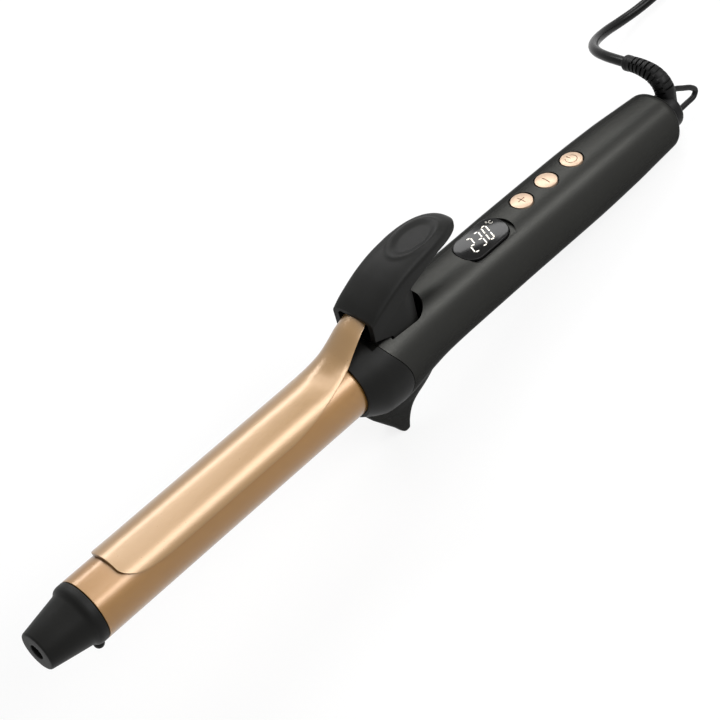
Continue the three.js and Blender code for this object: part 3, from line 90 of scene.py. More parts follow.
# %% [markdown]
# The camera stands where the photographer stood: to the left of the tip, above the iron, turned so that
# the iron runs from the lower left to the upper right. A long lens keeps the far end almost as large as the tip.
# A camera looks along its own -Z, so a direction becomes a rotation with to_track_quat, and the roll comes after.

# %% Camera
camera_place = Vector((-0.3019, -0.4959, 0.6244))
camera_azimuth = math.radians(-29.87)
camera_elevation = math.radians(45.60)
camera_roll = math.radians(-24.09)
camera_data = bpy.data.cameras.new("camera")
camera_data.lens = 110
camera_data.sensor_width = 36
camera_data.clip_start = 0.05
camera = bpy.data.objects.new("camera", camera_data)
bpy.context.scene.collection.objects.link(camera)
towards_camera = Vector((
    math.sin(camera_azimuth) * math.cos(camera_elevation),
    -math.cos(camera_azimuth) * math.cos(camera_elevation),
    math.sin(camera_elevation),
))
aim = (-towards_camera).to_track_quat("-Z", "Y").to_matrix() @ Matrix.Rotation(camera_roll, 3, "Z")
camera.matrix_world = Matrix.Translation(camera_place) @ aim.to_4x4()
bpy.context.scene.camera = camera
print("camera right", [round(v, 3) for v in aim.col[0]], "up", [round(v, 3) for v in aim.col[1]])

# %% [markdown]
# The backdrop is plain white. A world colour alone could give it, but a world that is white enough for the
# backdrop would also flatten the shading, so Light Path tells the rays apart: the world is white to the camera
# and in reflections, and much dimmer as a light.

# %% World
scene = bpy.context.scene
scene.view_settings.view_transform = "Standard"
world = bpy.data.worlds.new("studio")
scene.world = world
world.use_nodes = True
world_nodes = world.node_tree.nodes
world_links = world.node_tree.links
background = world_nodes["Background"]
background.inputs["Color"].default_value = (1, 1, 1, 1)
world_light = 0.12
world_white = 1.0


def seen_ray(nodes, links):
    """1 for the rays that should meet a white backdrop: straight, mirrored and through glass."""
    path = nodes.new("ShaderNodeLightPath")
    first = nodes.new("ShaderNodeMath")
    first.operation = "MAXIMUM"
    links.new(path.outputs["Is Camera Ray"], first.inputs[0])
    links.new(path.outputs["Is Glossy Ray"], first.inputs[1])
    second = nodes.new("ShaderNodeMath")
    second.operation = "MAXIMUM"
    links.new(first.outputs[0], second.inputs[0])
    links.new(path.outputs["Is Transmission Ray"], second.inputs[1])
    return second.outputs[0]


strength = world_nodes.new("ShaderNodeMapRange")
strength.inputs["To Min"].default_value = world_light
strength.inputs["To Max"].default_value = world_white
world_links.new(seen_ray(world_nodes, world_links), strength.inputs["Value"])
world_links.new(strength.outputs["Result"], background.inputs["Strength"])
print("world lights at", world_light, "and shows at", world_white)

# %% [markdown]
# The floor is a plain pale sheet just under the iron, a stage piece and not part of the object. A white sheet that
# only reflects would show grey between the lamps, so the camera sees it mixed with a glow, and a fifth of the
# plain sheet is left in the mix to keep the soft shadow.

# %% Floor
floor_half = 3.0
floor_level = -0.0004
floor_colour = (0.93, 0.93, 0.93, 1)
floor_glow_strength = 1.02
floor_glow_share = 0.82
floor_mesh = bpy.data.meshes.new("floor")
floor_mesh.from_pydata(
    [(-floor_half, -floor_half, floor_level), (floor_half, -floor_half, floor_level),
     (floor_half, floor_half, floor_level), (-floor_half, floor_half, floor_level)],
    [], [(0, 1, 2, 3)],
)
floor = bpy.data.objects.new("floor", floor_mesh)
scene.collection.objects.link(floor)
floor_finish = bpy.data.materials.new("pale floor")
floor_finish.use_nodes = True
floor_nodes = floor_finish.node_tree.nodes
floor_links = floor_finish.node_tree.links
floor_shader = floor_nodes["Principled BSDF"]
floor_shader.inputs["Base Color"].default_value = floor_colour
floor_shader.inputs["Roughness"].default_value = 0.9
floor_shader.inputs["Specular IOR Level"].default_value = 0.0
floor_glow = floor_nodes.new("ShaderNodeEmission")
floor_glow.inputs["Strength"].default_value = floor_glow_strength
floor_mix = floor_nodes.new("ShaderNodeMixShader")
floor_share = floor_nodes.new("ShaderNodeMapRange")
floor_share.inputs["To Max"].default_value = floor_glow_share
floor_links.new(seen_ray(floor_nodes, floor_links), floor_share.inputs["Value"])
floor_links.new(floor_share.outputs["Result"], floor_mix.inputs["Fac"])
floor_links.new(floor_shader.outputs[0], floor_mix.inputs[1])
floor_links.new(floor_glow.outputs[0], floor_mix.inputs[2])
floor_links.new(floor_mix.outputs[0], floor_nodes["Material Output"].inputs["Surface"])
floor_mesh.materials.append(floor_finish)
print("floor:", 2 * floor_half, "m wide")

# %% [markdown]
# Three long soft boxes light the iron. Small lamps would leave bright spots on a round, shiny form, and a long box
# is mirrored as a band that runs from end to end. One stands on the near side and one on the far side, both
# towards the handle's end, and a weaker one hangs overhead and joins the two bands without filling the dip
# between them.

# %% Lamps
lamp_target = Vector((0.2, 0, 0.04))
soft_boxes = [
    ("near strip", Vector((0.53, -0.66, 0.71)), (1.15, 0.30), 9.5),
    ("far strip", Vector((0.58, 0.60, 0.74)), (1.15, 0.22), 7.4),
    ("overhead strip", Vector((0.30, -0.01, 0.98)), (1.30, 0.30), 4.5),
]


def soft_box(name, place, target, size, power):
    """An area lamp that looks at a target, with its sides in metres and its power in watts."""
    data = bpy.data.lights.new(name, "AREA")
    data.shape = "RECTANGLE"
    data.size, data.size_y = size
    data.energy = power
    lamp = bpy.data.objects.new(name, data)
    scene.collection.objects.link(lamp)
    aim_at = (target - place).to_track_quat("-Z", "Y").to_matrix().to_4x4()
    lamp.matrix_world = Matrix.Translation(place) @ aim_at
    return lamp


for name, place, size, power in soft_boxes:
    soft_box(name, place, lamp_target, size, power)
print("lamps:", [(name, power) for name, place, size, power in soft_boxes])

# %% [markdown]
# Most finishes here are one recipe with other numbers. A single flat colour is quicker, but no moulded or sprayed
# surface is one flat tone, so roughness and bump come from fine noise, and the colour drifts slowly over the piece.
# Object coordinates keep the grain fixed to the piece. Each finish below is a short call with its own values.

# %% A recipe for finishes
drift_scale = 35
relief_depth = 0.0002


def finish(name, colour, roughness, metallic=0.0, grain=2500.0, bump=0.05, drift=0.06, spread=0.06,
           coat=0.0, coat_roughness=0.1, specular=0.5, edge=1.0, stretch=(1, 1, 1)):
    """A Principled material with fine grain in its bump and roughness, and a slow drift in its colour.

    An edge below 1 dims what the metal share mirrors at a grazing angle, as a dull lacquer does.
    """
    material = bpy.data.materials.new(name)
    material.use_nodes = True
    nodes, links = material.node_tree.nodes, material.node_tree.links
    shader = nodes["Principled BSDF"]
    shader.inputs["Metallic"].default_value = metallic
    shader.inputs["Specular IOR Level"].default_value = specular
    shader.inputs["Specular Tint"].default_value = (edge, edge, edge, 1)
    shader.inputs["Coat Weight"].default_value = coat
    shader.inputs["Coat Roughness"].default_value = coat_roughness
    place = nodes.new("ShaderNodeTexCoord")
    turn = nodes.new("ShaderNodeMapping")
    turn.inputs["Rotation"].default_value = (0, -lean, 0)
    turn.inputs["Scale"].default_value = stretch
    links.new(place.outputs["Object"], turn.inputs["Vector"])
    fine = nodes.new("ShaderNodeTexNoise")
    fine.inputs["Scale"].default_value = grain
    fine.inputs["Detail"].default_value = 3
    slow = nodes.new("ShaderNodeTexNoise")
    slow.inputs["Scale"].default_value = drift_scale
    slow.inputs["Detail"].default_value = 2
    for texture in (fine, slow):
        links.new(turn.outputs["Vector"], texture.inputs["Vector"])
    ramp = nodes.new("ShaderNodeValToRGB")
    ramp.color_ramp.elements[0].position = 0.3
    ramp.color_ramp.elements[1].position = 0.7
    ramp.color_ramp.elements[0].color = tuple(c * (1 - drift) for c in colour) + (1,)
    ramp.color_ramp.elements[1].color = tuple(min(c * (1 + drift), 1) for c in colour) + (1,)
    links.new(slow.outputs["Fac"], ramp.inputs["Fac"])
    links.new(ramp.outputs["Color"], shader.inputs["Base Color"])
    rough = nodes.new("ShaderNodeMapRange")
    rough.inputs["To Min"].default_value = max(roughness - spread, 0.02)
    rough.inputs["To Max"].default_value = min(roughness + spread, 1)
    links.new(fine.outputs["Fac"], rough.inputs["Value"])
    links.new(rough.outputs["Result"], shader.inputs["Roughness"])
    relief = nodes.new("ShaderNodeBump")
    relief.inputs["Strength"].default_value = bump
    relief.inputs["Distance"].default_value = relief_depth
    links.new(fine.outputs["Fac"], relief.inputs["Height"])
    links.new(relief.outputs["Normal"], shader.inputs["Normal"])
    return material


print("finishes are one recipe, with a slow drift at scale", drift_scale)

# %% [markdown]
# The heated parts have a sprayed coating, rose gold on the barrel and a paler gold on the clamp, a little metal in
# its colour and a clear coat over it. The handle is dark grey lacquer with fine metal flakes, and the
# collar, the lever and the cap are matte black, because a grip and a stay-cool part shouldn't glare.

# %% The outer finishes
rose_gold = finish("rose gold coating", (0.275, 0.128, 0.018), 0.32, metallic=0.3, specular=0.9, grain=1500,
                   bump=0.025, drift=0.03, spread=0.08, coat=0.55, coat_roughness=0.25)
pale_gold = finish("pale gold sheet", (0.29, 0.160, 0.050), 0.31, metallic=0.3, specular=0.9, grain=1500,
                   bump=0.025, drift=0.03, spread=0.08, coat=0.5, coat_roughness=0.25)
lacquer = finish("dark grey lacquer", (0.031, 0.031, 0.029), 0.41, metallic=0.8, specular=0.2, edge=0.3,
                 grain=1900, bump=0.12, drift=0.04, spread=0.12)
matte_black = finish("matte black plastic", (0.0055, 0.0055, 0.005), 0.48, specular=0.13, grain=3600,
                     bump=0.12, drift=0.08)
rubber = finish("black rubber", (0.004, 0.004, 0.004), 0.42, specular=0.13, grain=3000, bump=0.08, drift=0.08)
cord_skin = finish("glossy cord skin", (0.002, 0.002, 0.002), 0.25, specular=0.14, grain=1400,
                   bump=0.10, drift=0.08)
window = finish("black window", (0.004, 0.004, 0.004), 0.10, specular=0.14, grain=900, bump=0.004, spread=0.02)
button_gold = finish("pale rose gold buttons", (0.49, 0.35, 0.245), 0.38, metallic=0.35, grain=4200, bump=0.03)
sign_ink = finish("pressed signs", (0.16, 0.09, 0.055), 0.5, metallic=0.3, grain=4000, bump=0.05)
print("outer finishes:", len(bpy.data.materials) - 1)

# %% [markdown]
# Inside are plain stock materials: steel, aluminium drawn in one direction, fired ceramic, brass and a green
# board. Few of them are ever seen, but a cut or an exploded view would show them, so they get the same care.

# %% The inner finishes
steel = finish("plain steel", (0.42, 0.42, 0.43), 0.32, metallic=1.0, grain=2600, bump=0.05)
aluminium = finish("drawn aluminium", (0.62, 0.62, 0.63), 0.38, metallic=1.0, grain=2600, bump=0.05,
                   stretch=(0.1, 1, 1))
ceramic = finish("fired ceramic", (0.72, 0.70, 0.66), 0.75, grain=2600, bump=0.2)
board_green = finish("green board", (0.03, 0.12, 0.06), 0.45, grain=2600, bump=0.1)
brass = finish("turned brass", (0.55, 0.38, 0.12), 0.32, metallic=1.0, grain=2600, bump=0.05)
pin_metal = finish("plated pins", (0.66, 0.65, 0.62), 0.22, metallic=1.0, grain=2600, bump=0.03)


def digit_finish(name, tone, glow):
    """The lit segments: a warm white that glows a little through the window."""
    material = finish(name, (0.90 * tone, 0.86 * tone, 0.76 * tone), 0.5, grain=3000, bump=0.02, drift=0.02)
    shader = material.node_tree.nodes["Principled BSDF"]
    shader.inputs["Emission Color"].default_value = (1.0, 0.94, 0.82, 1)
    shader.inputs["Emission Strength"].default_value = glow
    return material


lit = digit_finish("lit segments", 1, 0.55)
lit_small = digit_finish("lit unit", 0.45, 0.12)
print("all finishes:", len(bpy.data.materials))

# %% [markdown]
# A CAD node that is shown as it is needs a finish too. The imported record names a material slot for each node,
# so one table from slot to finish dresses all of them, and a later node needs no line of its own.

# %% Finishes on the CAD nodes
slot_finish = {
    "rose_gold": rose_gold, "lacquer": lacquer, "black_plastic": matte_black, "rubber": rubber, "window": window,
    "button_gold": button_gold, "steel": steel, "aluminium": aluminium, "ceramic": ceramic, "board": board_green,
    "brass": brass,
}
for part in frame["record"]["subparts"]:
    for material_slot in frame["nodes"][part["node"]].material_slots:
        material_slot.material = slot_finish[part["material_slot"]]

# %% [markdown]
# The cord comes next, because its room is limited. It leaves the strain relief level, falls to the table in one
# easy curve, and runs into a flat hank. A bevelled Bezier curve could be drawn by hand, but its length would be a
# guess: here one curve follows the whole route as many short steps, so its length is the real 1.8 m.
# A Catmull-Rom curve passes every point of its list, and its centripetal form makes no loops between them.

# %% A curve through points
steps_between = 60


def through(points, count):
    """Evenly spaced points on a centripetal Catmull-Rom curve."""
    points = [Vector(p) for p in points]
    ends = [points[0] * 2 - points[1]] + points + [points[-1] * 2 - points[-2]]
    dense = []
    for k in range(1, len(ends) - 2):
        p0, p1, p2, p3 = ends[k - 1:k + 3]
        d0, d1, d2 = ((b - a).length ** 0.5 or 1e-4 for a, b in ((p0, p1), (p1, p2), (p2, p3)))
        t1 = ((p1 - p0) / d0 - (p2 - p0) / (d0 + d1) + (p2 - p1) / d1) * d1
        t2 = ((p2 - p1) / d1 - (p3 - p1) / (d1 + d2) + (p3 - p2) / d2) * d1
        for n in range(steps_between):
            t = n / steps_between
            dense.append(p1 * (2 * t ** 3 - 3 * t ** 2 + 1) + t1 * (t ** 3 - 2 * t ** 2 + t)
                         + p2 * (3 * t ** 2 - 2 * t ** 3) + t2 * (t ** 3 - t ** 2))
    dense.append(points[-1])
    lengths = [0.0]
    for a, b in zip(dense, dense[1:]):
        lengths.append(lengths[-1] + (b - a).length)
    even, j = [], 0
    for n in range(count):
        want = lengths[-1] * n / (count - 1)
        while j + 2 < len(lengths) and lengths[j + 1] < want:
            j += 1
        share = (want - lengths[j]) / (lengths[j + 1] - lengths[j])
        even.append(dense[j].lerp(dense[j + 1], min(share, 1)))
    return even, lengths[-1]


arch_length = through([(0, 0, 0), (1, 1, 0), (2, 0, 0)], 9)[1]
print("a curve over an arch of three points is", round(arch_length, 3), "long, and straight steps are 2.828")

# %% Sizes of the cord and its hank
cord_radius = 2.2
cord_lift = 0.05
tie_thickness = 0.8
seat_gap = 0.3
hank_half_run = 40.75
hank_inner = 13.2
hank_pitch = 5.45
hank_layer = 4.9
hank_turns_in = 3
hank_turns = 5.5
hank_draw_in = 8.5
climb_turns = 0.25
hank_middle = Vector((304, 23.4, 0))
hank_outer = hank_inner + hank_pitch * hank_turns_in
hank_low = cord_lift + tie_thickness + seat_gap + cord_radius
plug_length = 35.0
plug_half_height = 6.85
plug_along, plug_across = 12, -44
plug_at = hank_middle + Vector((plug_along - hank_half_run, plug_across, cord_lift + plug_half_height))
free_route = [
    (166.09, 18.88, 26.24), (166.4, 24, 25.5), (167.4, 31, 24), (170, 38.5, 21.4), (175, 45.5, 17.6),
    (182.5, 51, 13), (192, 54.2, 8.8), (202, 54.9, 5.7), (212, 54.3, 4), (223, 53.3, 3.45), (234, 53, 3.35),
    (246, 52.95, 3.35), (258.85, 52.95, 3.35),
]
print("the hank reaches", hank_half_run + hank_outer + cord_radius, "mm from its middle")

# %% [markdown]
# The hank is three turns inwards, a climb by one layer along a run, and two and a half turns outwards, drawn in
# where the tie holds them. Each turn is two straight runs and two half circles, so one rule gives the centre
# line's place for any number of turns, and the layers lie as neatly as a machine winds them.

# %% The hank's turns
turn_margin = 1e-9


def hank_point(turns):
    """The centre line after a number of turns: in, up one layer along a run, and out again."""
    inward = turns < hank_turns_in
    within = turns if inward else turns - hank_turns_in
    if inward:
        reach = hank_outer - hank_pitch * within
    else:
        reach = hank_inner + hank_pitch * max(within - climb_turns, 0)
    phase = turns - math.floor(turns + turn_margin)
    half = (phase * 2) % 1.0
    way = 1 if phase < 0.5 - turn_margin else -1
    climb = 0 if inward else min(within / climb_turns, 1)
    height = hank_low + hank_layer * climb
    if half < 0.5:
        step = 4 * half - 1
        draw = hank_draw_in * (1 + math.cos(math.pi * step)) / 2
        return hank_middle + Vector((way * step * hank_half_run, way * (reach - draw), height))
    angle = math.pi * (half - 0.5) / 0.5
    return hank_middle + Vector((
        way * (hank_half_run + reach * math.sin(angle)), way * reach * math.cos(angle), height,
    ))


points_per_turn = 32
hank_route = [hank_point(k / points_per_turn) for k in range(int(hank_turns * points_per_turn) + 1)]
print("hank points:", len(hank_route))

# %% [markdown]
# The last run leaves the hank for the plug. It eases sideways and upwards, so that it arrives level and straight
# in the plug's neck. The easing has no slope and no bend at its ends, as a stiff cord that is held there has none.

# %% From the hank to the plug


def eased(share, end):
    """0 to 1 along a smooth step that is over at the given end."""
    t = min(share / end, 1)
    return t * t * t * (t * (6 * t - 15) + 10)


lead_from = hank_route[-1]
lead_steps = 14
lead_level_at = 0.92
lead_route = []
for k in range(1, lead_steps + 1):
    share = k / lead_steps
    ease = eased(share, lead_level_at)
    lead_route.append(Vector((
        lead_from.x + (plug_at.x + seat_gap - lead_from.x) * share,
        lead_from.y + (plug_at.y - lead_from.y) * ease,
        lead_from.z + (plug_at.z - lead_from.z) * ease,
    )))
free_points = 70
free_part, free_length = through(free_route, free_points)
route = free_part + hank_route[1:] + lead_route
route_length = sum((b - a).length for a, b in zip(route, route[1:]))
print("cord:", round(free_length, 1), "mm free,", round(route_length, 1), "mm in all, from", len(route), "points")

# %% The cord itself
cord_curve = bpy.data.curves.new("power_cord", "CURVE")
cord_curve.dimensions = "3D"
cord_curve.bevel_depth = cord_radius * mm
cord_curve.bevel_resolution = 6
cord_curve.use_fill_caps = True
spline = cord_curve.splines.new("POLY")
spline.points.add(len(route) - 1)
for point, place in zip(spline.points, route):
    point.co = (place.x * mm, place.y * mm, place.z * mm, 1)
spline.use_smooth = True
power_cord = bpy.data.objects.new("power_cord", cord_curve)
scene.collection.objects.link(power_cord)
power_cord.data.materials.append(cord_skin)
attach(power_cord, "swivel")
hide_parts("cord", "cord_hank")
print("cord:", 2 * cord_radius, "mm thick")

# %% [markdown]
# The rigid pieces could be cut from Blender's own primitives, but hardly any form here is a plain one. They come
# from a few ways of making instead. A loft joins rings of points, which suits anything that changes its section
# along its length. Each way works in the iron's own millimetres, and the finished mesh is carried into the
# frame at once, so that a piece's object stays at the origin.

# %% Closed forms and lofts
weld = 1e-5


def form(name, points, faces):
    """A closed mesh object, drawn in the iron's millimetres, with its faces turned outwards."""
    mesh = bpy.data.meshes.new(name)
    mesh.from_pydata([tuple(p) for p in points], [], faces)
    work = bmesh.new()
    work.from_mesh(mesh)
    bmesh.ops.remove_doubles(work, verts=work.verts, dist=weld)
    bmesh.ops.recalc_face_normals(work, faces=work.faces)
    work.to_mesh(mesh)
    work.free()
    piece = bpy.data.objects.new(name, mesh)
    scene.collection.objects.link(piece)
    return piece


def loft(name, rings):
    """Joins rings of equal counts, with a fan of faces over each end."""
    count = len(rings[0])
    points = [p for ring in rings for p in ring]
    faces = []
    for row in range(len(rings) - 1):
        for k in range(count):
            near, far = row * count + k, row * count + (k + 1) % count
            faces.append((near, far, far + count, near + count))
    for row in (0, len(rings) - 1):
        hub = len(points)
        points.append(sum((Vector(p) for p in rings[row]), Vector()) / count)
        for k in range(count):
            faces.append((hub, row * count + k, row * count + (k + 1) % count))
    return form(name, points, faces)


print("forms are welded at", weld, "mm")

# %% [markdown]
# A turned piece, such as the cap, the barrel or a button, is a profile that goes round a line. Its corners are
# rounded in the profile, which is cheaper and cleaner than a bevel on the finished mesh.

# %% Turned forms


def revolve(name, profile, height=0.0, steps=96, axis="x", at=(0, 0)):
    """Turns (station, radius) pairs about a line along X, or along Z for an upright piece.

    Pairs that never touch the line are a closed loop, and make a ring.
    """
    rings_closed = min(r for _, r in profile) > 0
    points, faces = [], []
    for station, radius in profile:
        for k in range(steps):
            turn = 2 * math.pi * k / steps
            c, s = radius * math.cos(turn), radius * math.sin(turn)
            points.append((station, c, height + s) if axis == "x" else (at[0] + c, at[1] + s, station))
    rows = len(profile)
    for row in range(rows if rings_closed else rows - 1):
        below = (row + 1) % rows
        for k in range(steps):
            far = (k + 1) % steps
            faces.append((row * steps + k, row * steps + far, below * steps + far, below * steps + k))
    return form(name, points, faces)


def rounded(profile_points, steps=4):
    """Takes (station, radius, round) corners and returns the profile with each corner turned on an arc."""
    out = []
    count = len(profile_points)
    for k, (x, r, fillet) in enumerate(profile_points):
        here = Vector((x, r))
        if fillet <= 0:
            out.append((x, r))
            continue
        before = (Vector(profile_points[k - 1][:2]) - here).normalized()
        after = (Vector(profile_points[(k + 1) % count][:2]) - here).normalized()
        start, end = here + before * fillet, here + after * fillet
        for n in range(steps + 1):
            t = n / steps
            p = start * (1 - t) ** 2 + here * 2 * t * (1 - t) + end * t * t
            out.append((p.x, p.y))
    return out


print("a square corner rounded in", len(rounded([(0, 0, 0), (0, 1, 0.2), (1, 1, 0)])), "points")

# %% [markdown]
# Holes and joined bodies are made by exact Booleans between closed forms, as a mould maker would cut them. The
# result is kept as a plain mesh at once, because the export and the frame read meshes, not live modifiers.

# %% Booleans and bevels


def apply_modifiers(piece):
    """Keeps what the modifiers show as the piece's own mesh."""
    bpy.context.view_layer.update()
    done = bpy.data.meshes.new_from_object(piece.evaluated_get(bpy.context.evaluated_depsgraph_get()))
    old = piece.data
    piece.modifiers.clear()
    piece.data = done
    bpy.data.meshes.remove(old)
    return piece


def boolean(piece, others, kind="DIFFERENCE", crossing=False):
    """Cuts or joins closed forms exactly, one after another, and removes the tools."""
    for other in others:
        step = piece.modifiers.new("boolean", "BOOLEAN")
        step.operation = kind
        step.solver = "EXACT"
        step.use_self = crossing
        step.object = other
        apply_modifiers(piece)
        bpy.data.objects.remove(other)
    return piece


def round_edges(piece, width, angle=40, segments=3):
    """Rounds sharp edges with a bevel of a few segments."""
    step = piece.modifiers.new("edge", "BEVEL")
    step.width = width
    step.segments = segments
    step.limit_method = "ANGLE"
    step.angle_limit = math.radians(angle)
    step.use_clamp_overlap = True
    step.harden_normals = False
    return apply_modifiers(piece)


print("modifiers are applied as they are made")

# %% [markdown]
# Every piece ends the same way: it goes into the frame, is shaded smooth but for its sharp edges, and gets its
# finish and the body that it moves with. One function does this, so that no piece misses a step.

# %% Finishing a piece
frame_weld = 1e-7


def finished(piece, body, material, replaces=(), angle=32, in_frame=False):
    """Carries a piece into the frame, smooths it but for its sharp edges, and gives it its finish and body."""
    if not in_frame:
        piece.data.transform(iron_to_frame)
    work = bmesh.new()
    work.from_mesh(piece.data)
    bmesh.ops.remove_doubles(work, verts=work.verts, dist=frame_weld)
    work.to_mesh(piece.data)
    work.free()
    piece.data.polygons.foreach_set("use_smooth", [True] * len(piece.data.polygons))
    piece.data.set_sharp_from_angle(angle=math.radians(angle))
    piece.data.materials.clear()
    piece.data.materials.append(material)
    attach(piece, body)
    if replaces:
        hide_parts(*replaces)
    print(f"{piece.name}: {len(piece.data.polygons)} faces")
    return piece


print("pieces are welded again in the frame, at", frame_weld * 1000, "mm")

# %% [markdown]
# Sizes that the pieces share. They are those of the solids, so that each skin lies on its solid, and a size that
# only one piece uses stands beside that piece.

# %% Shared sizes
gap = 0.3
barrel_radius = 12.5
barrel_wall = 1.3
barrel_rear = 168.0
cap_length = 22.3
clamp_sheet = 1.1
clamp_radius = barrel_radius + gap + clamp_sheet
pivot_at, pivot_height, pin_radius, pin_reach = 181.0, 8.0, 1.6, 12.2
cheek_radius, cheek_thickness, cheek_outer, cheek_rear = 7.2, 2.8, 9.9, 191.5
cheek_underside, cheek_web_low = 14.4, 9.0
handle_rear, handle_round, handle_wall = 341.5, 5.5, 2.4
foot_reach, foot_rear = 36.4, 174.6
lens_roll = math.radians(6)
lens_height, lens_thickness = 13.9, 2.6
button_places = (257.3, 272.0, 287.4)
button_radius = 4.5
duct_radius, duct_drop = 4.0, -6
print("barrel", 2 * barrel_radius, "mm thick, handle to", handle_rear, "mm from the tip")

# %% [markdown]
# The cool tip is a turned cap. A stretched cylinder would miss what makes it a cap: its profile flares to a narrow
# waist ring that meets the barrel, and a deep pocket in its end hides the screw. So it is one turned profile. The
# small nub below, where the tip may rest on a table, is a round-ended pin that is joined on.

# %% Tip cap
cap_profile = rounded([
    (9.0, 1.7, 0), (9.0, 3.0, 0.2), (0.0, 3.0, 0.35), (0.0, 7.8, 0.8), (9.0, 9.45, 2.0), (17.4, 10.95, 0.9),
    (18.6, 12.2, 0.5), (19.8, 12.5, 0.4), (22.3, 12.5, 0.25), (22.3, 10.9, 0), (30.3, 10.9, 0.3), (30.3, 8.7, 0),
    (19.8, 8.7, 0), (15.8, 7.7, 0), (15.8, 4.2, 0), (28.1, 4.2, 0), (28.1, 1.7, 0),
])
tip_cap = revolve("tip_cap_skin", cap_profile, steps=128)
nub_radius, nub_station, nub_from, nub_to, nub_sides = 2.1, 20.5, 10.9, 13.2, 32
nub_turn = Matrix.Rotation(math.radians(-19), 3, "X")
nub_profile = [(nub_from, nub_radius), (nub_to, nub_radius)]
for angle in (10, 25, 40, 55, 70, 84):
    turn = math.radians(angle)
    nub_profile.append((nub_to + nub_radius * math.sin(turn), nub_radius * math.cos(turn)))
nub_rings = []
for reach, radius in nub_profile:
    ring = []
    for k in range(nub_sides):
        turn = 2 * math.pi * k / nub_sides
        ring.append(nub_turn @ Vector((nub_station + radius * math.cos(turn), radius * math.sin(turn), -reach)))
    nub_rings.append(ring)
boolean(tip_cap, [loft("nub", nub_rings)], "UNION")
finished(tip_cap, "handle", matte_black, ["tip_cap"])

# %% [markdown]
# The barrel is a drawn tube that holds the heater. A plain cylinder would show no wall at its ends, so it is turned
# from one closed profile, with a fine round where it meets the cap. Many sides keep its long highlights straight.

# %% Barrel
barrel = revolve("barrel_skin", rounded([
    (cap_length + gap, barrel_radius, 0.25), (barrel_rear, barrel_radius, 0),
    (barrel_rear, barrel_radius - barrel_wall, 0), (cap_length + gap, barrel_radius - barrel_wall, 0),
]), steps=192)
finished(barrel, "handle", rose_gold, ["barrel"])

# %% [markdown]
# Several pieces change their section along the iron. Their sizes stand in a table of a few stations, and a smooth
# curve reads the table between them. It never overshoots a row, so a flat stretch stays flat.

# %% Tables along the iron
least_step = 0.05


def smooth_rows(rows, at):
    """Reads a table at a station along a curve that passes its rows without overshooting."""
    k = 0
    while k + 2 < len(rows) and rows[k + 1][0] < at:
        k += 1
    low, high = rows[k], rows[k + 1]
    span = high[0] - low[0]
    t = min(max((at - low[0]) / span, 0), 1)
    read = []
    for column in range(1, len(low)):
        rise = (high[column] - low[column]) / span
        slopes = []
        for j in (k, k + 1):
            if 0 < j < len(rows) - 1:
                before = (rows[j][column] - rows[j - 1][column]) / (rows[j][0] - rows[j - 1][0])
                after = (rows[j + 1][column] - rows[j][column]) / (rows[j + 1][0] - rows[j][0])
                slopes.append(0 if before * after <= 0 else 2 * before * after / (before + after))
            else:
                slopes.append(rise)
        h0, h1 = 2 * t ** 3 - 3 * t ** 2 + 1, t ** 3 - 2 * t ** 2 + t
        h2, h3 = -2 * t ** 3 + 3 * t ** 2, t ** 3 - t ** 2
        read.append(h0 * low[column] + h1 * span * slopes[0] + h2 * high[column] + h3 * span * slopes[1])
    return read


def stations(rows, step):
    """Stations from a table's first row to its last, with the rows' own stations kept."""
    found = {row[0] for row in rows}
    count = int((rows[-1][0] - rows[0][0]) / step)
    found |= {rows[0][0] + (rows[-1][0] - rows[0][0]) * k / count for k in range(count + 1)}
    kept = []
    for x in sorted(found):
        if not kept or x - kept[-1] > least_step:
            kept.append(x)
    kept[-1] = rows[-1][0]
    return kept


print("between 0 and 10 a table reads", [round(smooth_rows([(0, 0), (10, 1)], x)[0], 3) for x in (2.5, 5, 7.5)])

# %% [markdown]
# The clamp is one formed sheet. Towards the tip it wraps the barrel, and behind it narrows into a neck
# that rises to the lever. A flat sheet could be bent with modifiers, but its edges would drift, so rings of an arc
# follow a table of its rise and spread, and a bevel rounds the cut edge.

# %% The clamp's table
clamp_rows = [
    (36, 0.25, 30), (36.7, 0.2, 37), (38.6, 0.12, 45), (41.3, 0.05, 53), (46.7, 0, 58.4), (57.8, 0, 61.5),
    (115, 0, 61.2), (125, 0, 57.5), (132, 0, 52.5), (138, 0.15, 46.5), (143, 0.9, 41), (148, 2.4, 36.5),
    (151, 3.7, 33.8), (155, 6.2, 30), (160, 9.3, 27), (164.5, 11.2, 24), (170, 13.2, 22), (177, 15, 22),
    (186, 15.8, 22),
]
neck_from, neck_run, neck_tightening = 136, 22, 5.6
widest_sine = 0.96


def clamp_top(x):
    """The height of the sheet's top over the barrel's axis."""
    return clamp_radius + smooth_rows(clamp_rows, x)[0]


def clamp_round(x):
    """The sheet's radius: that of the barrel in front, and a tighter arch in the neck."""
    t = min(max((x - neck_from) / neck_run, 0), 1)
    return clamp_radius - neck_tightening * t * t * (3 - 2 * t)


print("the neck's radius goes from", round(clamp_round(0), 1), "to", round(clamp_round(186), 1), "mm")

